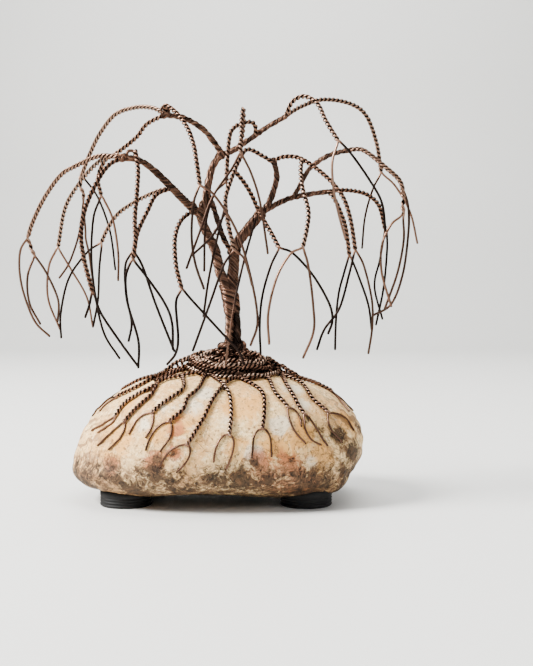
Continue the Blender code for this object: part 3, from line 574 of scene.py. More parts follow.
def build_stone_material():
    paint, g, shader = new_material("cream_pebble")
    here = g.add("ShaderNodeTexCoord", out=3)
    specks, both = mottle(g, here, 110.0, 900.0, 0.9)[1:3]
    grain = g.noise(here, 420.0, detail=4.0, roughness=0.7, distortion=0.3)
    streak = g.noise(here, 620.0, detail=5.0, roughness=0.75, distortion=1.4)
    ragged = g.noise(here, 260.0, detail=6.0, roughness=0.72, distortion=0.6)
    dust = g.noise(here, 900.0, detail=3.0, roughness=0.75)

    colour = stone_ground(g, here, ragged, grain, dust)
    for name, (low, high, amount) in PATCH_LOOKS.items():
        spot = g.math("MULTIPLY", g.attribute(name), g.span(ragged, low, high))
        colour = g.layer(colour, g.span(spot, 0.10, 0.45), amount, STONE_COLOURS[name])
    colour, z = stone_marks(g, here, colour, streak)
    colour = stone_stain_and_shade(g, colour, z, ragged, streak, dust)

    vein = g.math("ABSOLUTE", g.math("SUBTRACT", g.noise(here, 170.0, 5.0, 0.62, 1.2), 0.5))
    colour = g.layer(colour, g.span(vein, 0.020, 0.0), g.span(z, 8.0 * MM, -4.0 * MM, 0.15, 0.85),
                     STONE_COLOURS["vein"])
    pores = g.span(g.noise(here, 1500.0, detail=2.0), 0.42, 0.32)
    colour = g.layer(colour, pores, 0.7, STONE_COLOURS["pore"])
    g.set(shader, "Base Color", colour)

    rough = g.add("ShaderNodeMapRange", _0=both, _1=0.0, _2=1.0, _3=0.60, _4=0.82)
    g.set(shader, "Roughness", rough)
    height = g.math("ADD", g.math("MULTIPLY", grain, 0.6), g.math("MULTIPLY", specks, 0.4))
    g.set(shader, "Normal", g.add("ShaderNodeBump", Strength=0.35, Distance=0.12 * MM, Height=height))
    shader.inputs["Specular IOR Level"].default_value = 0.16
    return paint


stone_mesh.materials.append(build_stone_material())
put("pebble", stone_mesh, "stone", "stone")
print("the pebble replaces the frame's stone")

# %% [markdown]
# ## The rubber feet
# Four stuck-on bumpers lift the stone a little. Each is a short round plug with a rounded
# lower edge and shallow ribs round its side. A turned thing is best made the way a lathe makes it:
# half of its outline, spun once round. Its top is then pressed up against the stone's underside.

# %% Feet
RIB_DEPTH = 0.18
RIB_PITCH = 0.62
STEPS_PER_RIB = 6
FOOT_ROUNDING = 0.45
ROUNDING_STEPS = 6
FOOT_BITE = 0.05
FOOT_TURNS = 64
SEAM_DISTANCE = 1e-7


def build_foot(node):
    low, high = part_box(node)
    centre = (low + high) / 2
    radius = (high.x - low.x) / 2
    height = high.z - low.z
    rounding = FOOT_ROUNDING * MM
    outline = [(0.0, 0.0), (radius - rounding, 0.0)]
    for i in range(1, ROUNDING_STEPS + 1):
        angle = math.radians(90.0 * i / ROUNDING_STEPS)
        out = radius - rounding + rounding * math.sin(angle)
        outline.append((out, rounding - rounding * math.cos(angle)))
    ribs = int((height - 2 * rounding) / (RIB_PITCH * MM))
    for i in range(1, ribs * STEPS_PER_RIB + 1):
        level = rounding + RIB_PITCH * MM * i / STEPS_PER_RIB
        groove = 0.5 - 0.5 * math.cos(2 * math.pi * i / STEPS_PER_RIB)
        outline.append((radius - RIB_DEPTH * MM * groove, level))
    outline.append((radius, height))
    outline.append((0.0, height))
    shape = bmesh.new()
    verts = [shape.verts.new((r, 0, z)) for r, z in outline]
    edges = [shape.edges.new(pair) for pair in zip(verts, verts[1:])]
    bmesh.ops.spin(shape, geom=verts + edges, cent=(0, 0, 0), axis=(0, 0, 1), angle=2 * math.pi,
                   steps=FOOT_TURNS, use_merge=True)
    bmesh.ops.remove_doubles(shape, verts=shape.verts, dist=SEAM_DISTANCE)
    bmesh.ops.recalc_face_normals(shape, faces=shape.faces)
    bmesh.ops.translate(shape, vec=(centre.x, centre.y, low.z), verts=shape.verts)
    for vert in shape.verts:
        if vert.co.z > low.z + height - 0.01 * MM:
            hit = STONE_TREE.ray_cast(Vector((vert.co.x, vert.co.y, low.z - MM)), Vector((0, 0, 1)))[0]
            if hit:
                vert.co.z = hit.z + FOOT_BITE * MM
    mesh = bpy.data.meshes.new(node)
    shape.to_mesh(mesh)
    shape.free()
    mesh.shade_smooth()
    return mesh


def build_rubber():
    paint, g, shader = new_material("black_rubber")
    here = g.add("ShaderNodeTexCoord", out=3)
    clouds, specks, both = mottle(g, here, 300.0, 2500.0, 0.8)[:3]
    colour = g.mix(both, (0.004, 0.004, 0.0045, 1), (0.014, 0.0135, 0.013, 1))
    g.set(shader, "Base Color", colour)
    g.set(shader, "Roughness", g.add("ShaderNodeMapRange", _0=clouds, _1=0.0, _2=1.0, _3=0.60, _4=0.82))
    shader.inputs["Specular IOR Level"].default_value = 0.2
    g.set(shader, "Normal", g.add("ShaderNodeBump", Strength=0.25, Distance=0.03 * MM, Height=specks))
    return paint


rubber = build_rubber()
for node in feet:
    foot_mesh = build_foot(node)
    foot_mesh.materials.append(rubber)
    put("ribbed_" + node, foot_mesh, "rubber", node)
print("rubber feet:", len(feet))

# %% [markdown]
# ## How a twisted wire is made
# Nearly everything above the stone is copper wire in pairs, and each pair is wound round itself
# like string. A texture of stripes would look flat and would slip at every bend, so the winding is
# real geometry: each strand is a curve that circles a centre line, one turn in every lay. A curve
# with a round bevel is the quickest tube in Blender, and many of them become one mesh in one step.
# The centre line is carried along without twisting, so that the strands wind evenly round bends.

# %% Smooth routes and windings
def run_of(path):
    """How far along the path each of its places is."""
    return np.concatenate([[0.0], np.cumsum(np.linalg.norm(np.diff(path, axis=0), axis=1))])


def even(path, step):
    """The same path with its places evenly spaced, about one step apart."""
    run = run_of(path)
    count = max(2, int(round(run[-1] / step)) + 1)
    marks = np.linspace(0.0, run[-1], count)
    return np.stack([np.interp(marks, run, path[:, i]) for i in range(3)], axis=1)


def smooth(points, step):
    """A smooth curve through given places, as evenly spaced places."""
    points = [Vector(p) for p in points]
    ends = [points[0] * 2 - points[1]] + points + [points[-1] * 2 - points[-2]]
    curve = []
    for a, b, c, d in zip(ends, ends[1:], ends[2:], ends[3:]):
        cuts = max(3, round((c - b).length / step))
        for i in range(cuts):
            t = i / cuts
            curve.append(0.5 * (2 * b + (c - a) * t + (2 * a - 5 * b + 4 * c - d) * t ** 2
                                + (3 * b - a - 3 * c + d) * t ** 3))
    return even(np.array([tuple(p) for p in curve + [points[-1]]]), step)


def square_to(path):
    """Two directions square to the path at every place, carried along it without twisting."""
    along = np.gradient(path, axis=0)
    along /= np.linalg.norm(along, axis=1)[:, None]
    side = np.empty_like(path)
    first = np.cross(along[0], (0.0, 1.0, 0.0))
    if np.linalg.norm(first) < 0.3:
        first = np.cross(along[0], (1.0, 0.0, 0.0))
    side[0] = first / np.linalg.norm(first)
    for i in range(1, len(path)):
        step = side[i - 1] - along[i] * np.dot(side[i - 1], along[i])
        side[i] = step / np.linalg.norm(step)
    return side, np.cross(along, side)


def turned_along(path, lay, least=1.0):
    """The angle through which a winding has turned at each place of its path, once round in every lay.

    Where the path runs towards the viewer the twist may open, down to the least share of its turns.
    """
    steps = np.diff(path, axis=0)
    length = np.linalg.norm(steps, axis=1)
    across_view = np.hypot(steps[:, 0], steps[:, 2]) / length
    run = np.concatenate([[0.0], np.cumsum(length * np.maximum(least, across_view))])
    return 2 * math.pi * run / lay


def wound(path, reach, lay, start=0.0, least=1.0):
    """A path that circles another at some reach, by the left hand as this wire does."""
    side, up = square_to(path)
    angle = start - turned_along(path, lay, least)
    reach = np.broadcast_to(reach, len(path))[:, None]
    return path + reach * (np.cos(angle)[:, None] * side + np.sin(angle)[:, None] * up)


print("route helpers ready")

# %% [markdown]
# ## From strands to a mesh
# A strand carries more than its route. Each place on it knows how thick the wire is, how dark or
# bright its copper is, and which centre line it winds round. When the tubes are made, the distance
# from that centre line tells how proud each point stands. Hands only reach and rub the proud
# points, so the material makes the crowns of the strands bright, and it paints shade into the
# crevices, near black.

# %% Strands and the piece made of them
WIRE = 0.55
PAIR = 1.12
LAY = 2.0
RING_STEP = 0.175
BARE_STEP = RING_STEP * 1.6
SIDES = 6
FINE_SIDES = 8
TIP_CORNER = 65.0
MOST_PROUD = 1.2


def strand(path, thick=WIRE, tone=0.5, core=None, reach=None):
    """One wire: its route, thickness and tone, and the centre line that it winds round."""
    count = len(path)
    thick = np.broadcast_to(thick, count)
    return {
        "path": path,
        "thick": thick,
        "tone": np.broadcast_to(tone, count),
        "core": path if core is None else core,
        "reach": thick / 2 if reach is None else np.broadcast_to(reach, count),
    }


def wire_mesh(name, strands, sides):
    """One mesh of many strands, with how proud each point is and its tone as attributes."""
    curve = bpy.data.curves.new(name, "CURVE")
    curve.dimensions = "3D"
    curve.bevel_depth = 0.5 * MM
    curve.bevel_resolution = sides // 2 - 2
    for one in strands:
        spline = curve.splines.new("POLY")
        spline.points.add(len(one["path"]) - 1)
        places = np.ones((len(one["path"]), 4))
        places[:, :3] = np.array(CREST) + one["path"] * MM
        spline.points.foreach_set("co", places.ravel())
        spline.points.foreach_set("radius", one["thick"])
    holder = bpy.data.objects.new(name, curve)
    mesh = bpy.data.meshes.new_from_object(holder)
    bpy.data.objects.remove(holder)
    bpy.data.curves.remove(curve)

    co = np.empty(len(mesh.vertices) * 3)
    mesh.vertices.foreach_get("co", co)
    co = (co.reshape(-1, sides, 3) - np.array(CREST)) / MM
    core = np.concatenate([one["core"] for one in strands])
    reach = np.concatenate([one["reach"] for one in strands])
    tone = np.concatenate([one["tone"] for one in strands])
    proud = np.linalg.norm(co - core[:, None, :], axis=2) / reach[:, None]
    for label, values in (("proud", proud), ("tone", np.repeat(tone[:, None], sides, axis=1))):
        layer = mesh.attributes.new(label, "FLOAT", "POINT")
        layer.data.foreach_set("value", np.clip(values, 0.0, MOST_PROUD).astype(np.float32).ravel())

    shape = bmesh.new()
    shape.from_mesh(mesh)
    bmesh.ops.holes_fill(shape, edges=[e for e in shape.edges if e.is_boundary], sides=sides)
    shape.normal_update()
    shape.to_mesh(mesh)
    shape.free()
    mesh.shade_smooth()
    mesh.set_sharp_from_angle(angle=math.radians(TIP_CORNER))
    return mesh


def put_wires(name, strands, *nodes, sides=SIDES):
    """Strands made one copper piece, which stands for the nodes it names."""
    mesh = wire_mesh(name, strands, sides)
    mesh.materials.append(COPPER)
    return put(name, mesh, "copper_wire", *nodes)


print("strand helpers ready")

# %% [markdown]
# ## The copper's finish
# Old copper is brown, not orange. Its skin is a dark oxide with a satin gloss, worn through to pink
# metal where it is touched. Where two strands meet, it is painted near black as shade. The tone says
# how bright the whole wire may get, the proud attribute paints shade into the crevices between
# strands, and the clouds wear the crowns unevenly. It stays metallic nearly all over, since a thin
# oxide tints a reflection and does not hide it. A dark specular tint keeps the edges of each thin
# wire from going white.

# %% Copper material
COPPER_COLOURS = {
    # from the darkest wire to the brightest: its dull flanks, and its rubbed crowns
    "flank dark": (0.008, 0.006, 0.005, 1),
    "flank": (0.052, 0.028, 0.018, 1),
    "crown dark": (0.017, 0.011, 0.009, 1),
    "crown": (0.18, 0.094, 0.062, 1),
    "crown bare": (0.76, 0.53, 0.39, 1),
    # painted shade: the near black of the crevices between strands
    "crevice": (0.003, 0.0018, 0.0014, 1),
}


def build_copper():
    paint, g, shader = new_material("oxidised_copper")
    tint = COPPER_COLOURS
    here = g.add("ShaderNodeTexCoord", out=3)
    clouds, specks, both = mottle(g, here, 420.0, 3200.0, 0.9)[:3]
    proud = g.attribute("proud")
    tone = g.attribute("tone")
    worn = g.math("ADD", g.span(proud, 0.72, 1.0), g.math("MULTIPLY", clouds, 0.5))
    bare = g.math("MULTIPLY", tone, tone)
    low = g.span(bare, 0.0, 0.25)
    high = g.span(bare, 0.20, 0.75)
    flank = g.mix(low, tint["flank dark"], tint["flank"])
    crown = g.mix(high, g.mix(low, tint["crown dark"], tint["crown"]), tint["crown bare"])
    colour = g.mix(g.span(worn, 0.45, 1.25), flank, crown)
    # Painted shade: where proud is low, in the crevices between strands, the copper turns near black.
    colour = g.mix(g.span(proud, 1.0, 0.72), colour, tint["crevice"])
    g.set(shader, "Base Color", colour)
    shader.inputs["Metallic"].default_value = 0.88
    shader.inputs["Specular IOR Level"].default_value = 0.2
    shader.inputs["Specular Tint"].default_value = (0.16, 0.12, 0.10, 1.0)
    g.set(shader, "Roughness", g.add("ShaderNodeMapRange", _0=both, _1=0.0, _2=1.0, _3=0.24, _4=0.38))
    g.set(shader, "Normal", g.add("ShaderNodeBump", Strength=0.2, Distance=0.02 * MM, Height=specks))
    return paint


COPPER = build_copper()
print("copper ready")

# %% [markdown]
# ## The trunk and the limbs
# The trunk is the sum of all its twigs. Every wire that ends in the crown starts at the foot, so the
# trunk is a fat bundle, and each limb is thinner by the wires that have left it. A limb is built as
# its maker wound it: single wires lie side by side and wind slowly round a core, some darker and
# some brighter. The trunk is three such bundles pressed together. Where it opens into its stems,
# broad slanting wraps hold it, and a fat cord lies round its foot.

# %% Routes of the trunk and limbs
TRUNK_DIAMETER = 3.6
TRUNK_FLARE = 1.15
STEM_DIAMETER = 2.4
LIMB_DIAMETER = 1.7
BRANCH_DIAMETER = 1.2

TRUNK = [(0, 0.3, 0), (0, 3.8, 0), (0.2, 8.7, 0), (-0.2, 14.3, 0), (-0.6, 17.6, 0)]

# Each limb: its thickness at the start and the end, and its route
LIMBS = {
    "left_stem": (
        STEM_DIAMETER, LIMB_DIAMETER * 1.1,
        [(-0.6, 12.6, -0.1), (-1.4, 18.6, -0.1), (-2.7, 21.8, 0), (-3.8, 26.6, -0.6), (-6.4, 32.1, -1.2),
         (-7.2, 35.4, -1.4)],
    ),
    "right_stem": (
        STEM_DIAMETER * 1.1, STEM_DIAMETER * 0.9,
        [(0.2, 12.6, 0.1), (-0.1, 18.0, 0.1), (0.4, 23.2, 0.4), (0.8, 27.2, 0.4), (3.4, 31.0, 0),
         (6.7, 35.0, -0.4)],
    ),
    "middle_stem": (
        BRANCH_DIAMETER, BRANCH_DIAMETER,
        [(0.5, 25.6, 0.6), (-1.5, 28.4, 1.2), (-2.9, 32.2, 1.0), (-4.3, 36.6, 0.2), (-5.6, 39.4, -0.6)],
    ),
    "left_limb": (
        LIMB_DIAMETER * 1.1, BRANCH_DIAMETER,
        [(-6.9, 34.4, -1.3), (-9.2, 36.2, -2.0), (-13.6, 40.6, -4.2), (-17.4, 44.3, -6.2),
         (-21.0, 46.7, -8.0), (-24.6, 47.1, -9.0)],
    ),
    "crown_limb": (
        LIMB_DIAMETER, LIMB_DIAMETER * 0.9,
        [(-6.9, 34.0, -1.3), (-6.0, 37.3, -0.8), (-5.2, 42.0, 0), (-4.0, 45.8, 0.4), (-2.2, 48.3, 0.4)],
    ),
    "upper_left_limb": (
        BRANCH_DIAMETER * 1.1, BRANCH_DIAMETER,
        [(-2.0, 47.6, 0.4), (-3.9, 50.4, 0.2), (-6.6, 53.6, -0.6), (-10.7, 56.0, -2.0), (-15.2, 56.7, -3.4)],
    ),
    "upper_right_limb": (
        BRANCH_DIAMETER * 1.1, BRANCH_DIAMETER * 0.9,
        [(-2.8, 47.6, 0.4), (0.0, 48.6, 0.8), (3.5, 51.0, 1.4), (8.0, 54.0, 2.0), (12.1, 56.4, 2.4)],
    ),
    "high_right_limb": (
        LIMB_DIAMETER * 0.9, BRANCH_DIAMETER,
        [(6.2, 34.4, -0.4), (8.2, 37.0, 0), (9.8, 41.4, 0.2), (9.9, 44.0, 0), (9.2, 46.4, -0.4)],
    ),
    "right_limb": (
        BRANCH_DIAMETER * 1.15, BRANCH_DIAMETER * 0.9,
        [(6.0, 34.6, -0.4), (9.2, 36.4, 0.4), (12.7, 38.0, 1.2), (17.4, 39.0, 2.0), (22.5, 39.7, 2.6)],
    ),
    "right_branch": (
        BRANCH_DIAMETER * 0.9, BRANCH_DIAMETER * 0.9,
        [(13.6, 38.2, 1.4), (15.2, 41.0, 1.6), (17.4, 44.8, 1.2), (21.9, 47.8, 0.4), (27.0, 49.0, -0.4)],
    ),
}

# How each limb is wound: its number of wires, the length of one turn, its darkest and brightest wire
WOUND = {
    "left_stem": (17, 5.4, (0.26, 0.48)),
    "right_stem": (17, 6.0, (0.20, 0.42)),
    "middle_stem": (9, 3.2, (0.16, 0.38)),
    "left_limb": (14, 4.0, (0.26, 0.46)),
    "crown_limb": (12, 12.0, (0.30, 0.48)),
    "upper_left_limb": (10, 3.8, (0.30, 0.48)),
    "upper_right_limb": (10, 3.6, (0.28, 0.46)),
    "high_right_limb": (10, 3.8, (0.20, 0.40)),
    "right_limb": (9, 3.2, (0.28, 0.46)),
    "right_branch": (8, 2.9, (0.26, 0.44)),
}

THICKEST_IN_LIMB = 0.58
WIRE_OVERLAP = 1.18
RIPPLE = 0.09
TONE_DRIFT = 0.10
DARKEST_TONE = 0.03


def pair_strands(line, size, lay, tone, start=0.0):
    """Two strands wound tightly round one line, like string."""
    return [strand(wound(line, size / 4, lay, start + math.pi * i), size / 2, tone, line, size / 2)
            for i in range(2)]


def wound_limb(line, size, wires, lay, tones, dice, start=0.0):
    """Single wires wound side by side round a core, darker and brighter by turns."""
    size = np.broadcast_to(size, len(line))
    slant = math.cos(math.atan(math.pi * size.mean() * 0.8 / lay))
    thick = np.minimum(THICKEST_IN_LIMB, math.pi * size * 0.82 * slant / wires * WIRE_OVERLAP)
    run = run_of(line)
    # The core is painted dark, at less than half the darkest wire's tone and mostly in the painted crevice
    # shade, so the gaps between the wires show shade.
    made = [strand(line, size - 1.5 * thick, tones[0] * 0.4, line, size / 2)]
    for i in range(wires):
        ripple = RIPPLE * np.sin(run * dice.uniform(1.2, 2.6) + dice.uniform(0, 6.28))
        tone = dice.uniform(*tones)
        tone = tone + TONE_DRIFT * np.sin(run * dice.uniform(0.4, 0.9) + dice.uniform(0, 6.28))
        begin = start + 2 * math.pi * (i + dice.uniform(-0.2, 0.2)) / wires
        path = wound(line, (size - thick) / 2 + ripple, lay, begin)
        wire = thick * dice.uniform(0.88, 1.1)
        made.append(strand(path, wire, np.maximum(DARKEST_TONE, tone), line, size / 2 - 0.03))
    return made


print("limbs to build:", len(LIMBS))

# %% Wraps and knots
WRAP_WIRE = 0.50
RING_CORNERS = 24
KNOT_SHIFT = 0.12


def wrapped(line, low, high, reach, turns, tone, start):
    """Wire bound round a stretch of a limb; low and high are shares of the limb's line."""
    first, last = int(low * (len(line) - 1)), int(high * (len(line) - 1))
    stretch = even(line[first:last + 1], 0.02)
    path = wound(stretch, reach, run_of(stretch)[-1] / turns, start)
    return strand(even(path, 0.25), WRAP_WIRE, tone)


def ring(centre, radius, face, wobble=0.06):
    """The route of a small loop of wire, a little out of round."""
    face = Vector(face).normalized()
    side = face.orthogonal().normalized()
    up = face.cross(side)
    path = []
    for i in range(RING_CORNERS + 1):
        angle = 2 * math.pi * i / RING_CORNERS
        size = radius * (1 + wobble * math.sin(2 * angle + centre[0]))
        path.append(Vector(centre) + side * math.cos(angle) * size + up * math.sin(angle) * size)
    return even(np.array([tuple(p) for p in path]), 0.2)


def any_way(dice):
    """A direction thrown by the dice, not of unit length."""
    return Vector((dice.uniform(-1, 1), dice.uniform(-1, 1), dice.uniform(-1, 1)))


def knot(centre, size, turns, dice, tone):
    """A tight ball of a few loops, each tipped its own way."""
    made = []
    for i in range(turns):
        face = any_way(dice)
        shift = any_way(dice) * size * KNOT_SHIFT
        loop = ring(Vector(centre) + shift, size / 2 * dice.uniform(0.8, 1.05), face)
        made.append(strand(loop, WIRE * 0.9, tone + dice.uniform(-0.15, 0.2)))
    return made


print("wrap helpers ready")

# %% The trunk's three columns, its collar and its wraps
COLUMN_SIZE = 2.15
COLUMN_LEAN = 26.0
COLUMN_TOP = 15.4
COLLAR_SIZE = 2.0
COLLAR_REACH = 2.4
COLLAR_HEIGHT = 4.85
COLLAR_TURN = (-285.0, 115.0)
COLLAR_STEPS = 30
COLUMNS = [
    # bearing round the trunk, wires, length of one turn, darkest and brightest wire
    # the left bundle's brighter tones are painted light from the left, and the right bundle's darker tones
    # are painted shade
    (200, 10, 3.4, (0.26, 0.62)),
    (-25, 9, 9.0, (0.05, 0.30)),
    (90, 9, 5.0, (0.08, 0.40)),
]
FORK_WRAP_TONES = (0.18, 0.52, 0.40, 0.18, 0.54, 0.30, 0.46)
FORK_WRAP_LOW = 0.66
FORK_WRAP_RISE = 0.027
FORK_WRAP_SHARE = 0.17
FORK_WRAP_TURNS = 0.58
FORK_WRAP_START = 3.4


def trunk_columns(dice):
    """Three bundles side by side: a bright one on the left, whose tones paint the light from the left, a dark
    one on the right, whose tones paint shade, and one behind.
    """
    line = smooth([laid_back(p) for p in TRUNK], 0.25)
    line = line[line[:, 2] < COLUMN_TOP]
    made = []
    for bearing, wires, lay, tones in COLUMNS:
        angle = math.radians(bearing) + run_of(line) / COLUMN_LEAN
        reach = (TRUNK_DIAMETER * TRUNK_FLARE - COLUMN_SIZE) / 2 + np.linspace(0.08, -0.22, len(line))
        out = np.stack([np.cos(angle), np.sin(angle), np.zeros(len(line))], axis=1)
        way = line + reach[:, None] * out
        size = np.linspace(COLUMN_SIZE, COLUMN_SIZE * 0.9, len(way))
        made += wound_limb(way, size, wires, lay, tones, dice)
    return made


def foot_collar(dice):
    """The fat cord wound once round the trunk just over the nest."""
    points = []
    for i in range(COLLAR_STEPS + 1):
        share = i / COLLAR_STEPS
        angle = math.radians(COLLAR_TURN[0] + (COLLAR_TURN[1] - COLLAR_TURN[0]) * share)
        rise = COLLAR_HEIGHT - 0.4 + 0.8 * share + 0.30 * math.sin(2 * angle + 0.5)
        points.append((COLLAR_REACH * math.cos(angle), COLLAR_REACH * math.sin(angle), rise))
    return wound_limb(smooth(points, 0.22), COLLAR_SIZE, 8, 5.0, (0.10, 0.46), dice)


def fork_wraps():
    """Broad slanting wraps where the trunk opens into its stems."""
    line = smooth([laid_back(p) for p in TRUNK] + [laid_back((-1.2, 19.4, -0.1))], 0.05)
    made = []
    for i, tone in enumerate(FORK_WRAP_TONES):
        low = FORK_WRAP_LOW + FORK_WRAP_RISE * i
        made.append(wrapped(line, low, low + FORK_WRAP_SHARE, TRUNK_DIAMETER * 0.50, FORK_WRAP_TURNS,
                            tone, FORK_WRAP_START))
    return made


print("trunk helpers ready")

# %% Build the trunk and limbs
KNOTS = [
    # a limb's end or fork: across, up, back, size, loops and tone
    (-24.4, 47.1, -9.0, 1.7, 5, 0.30),
    (-15.0, 56.8, -3.3, 1.7, 5, 0.36),
    (6.2, 34.6, -0.4, 2.3, 6, 0.40),
    (-7.0, 34.6, -1.3, 2.2, 6, 0.30),
    (-2.4, 47.8, 0.4, 1.8, 5, 0.34),
    (9.2, 46.2, -0.4, 1.6, 4, 0.20),
    (0.6, 26.4, 0.4, 2.6, 5, 0.26),
]
OPEN_RINGS = [
    # small loops that stand by themselves: across, up, back, radius, facing, tone and thickness
    (-22.5, 47.9, -9.0, 0.85, (0.2, -1.0, 0.1), 0.42, 0.70),
    (-14.9, 57.7, -3.6, 0.90, (0.5, -1.0, 0.0), 0.36, 0.60),
    (-8.6, 36.4, -2.0, 0.90, (0.9, -0.6, 0.4), 0.45, 0.60),
    (-6.4, 36.4, -1.4, 1.00, (0.5, -0.8, 0.2), 0.40, 0.50),
    (-3.4, 30.6, 1.0, 0.60, (0.4, -1.0, 0.1), 0.50, 0.42),
]


TRUNK_SEED = 4
LIMB_SWELL = 1.04


def build_trunk_and_limbs():
    dice = random.Random(TRUNK_SEED)
    made = trunk_columns(dice) + foot_collar(dice) + fork_wraps()
    for name, (start, end, route) in LIMBS.items():
        wires, lay, tones = WOUND[name]
        line = smooth([laid_back(p) for p in route], 0.25)
        size = np.linspace(start, end, len(line)) * LIMB_SWELL
        made += wound_limb(line, size, wires, lay, tones, dice, dice.uniform(0, 6.28))
    for across, up, back, size, loops, tone in KNOTS:
        made += knot(laid_back((across, up, back)), size, loops, dice, tone)
    for across, up, back, radius, face, tone, thick in OPEN_RINGS:
        made.append(strand(ring(laid_back((across, up, back)), radius, face), thick, tone))
    return made


trunk_strands = build_trunk_and_limbs()
put_wires("wound_trunk_and_limbs", trunk_strands, "trunk_and_limbs")
print("trunk and limbs:", len(trunk_strands), "strands")

# %% [markdown]
# ## The twigs
# Each twig is one pair of wires. It leaves its limb, arches over under its own weight and hangs,
# and near its end the two wires part and fall separately. So a strand here is not two pieces that
# meet at the fork. It is one line that winds round its partner, straightens out over the last turn
# and runs on to its own bare tip.

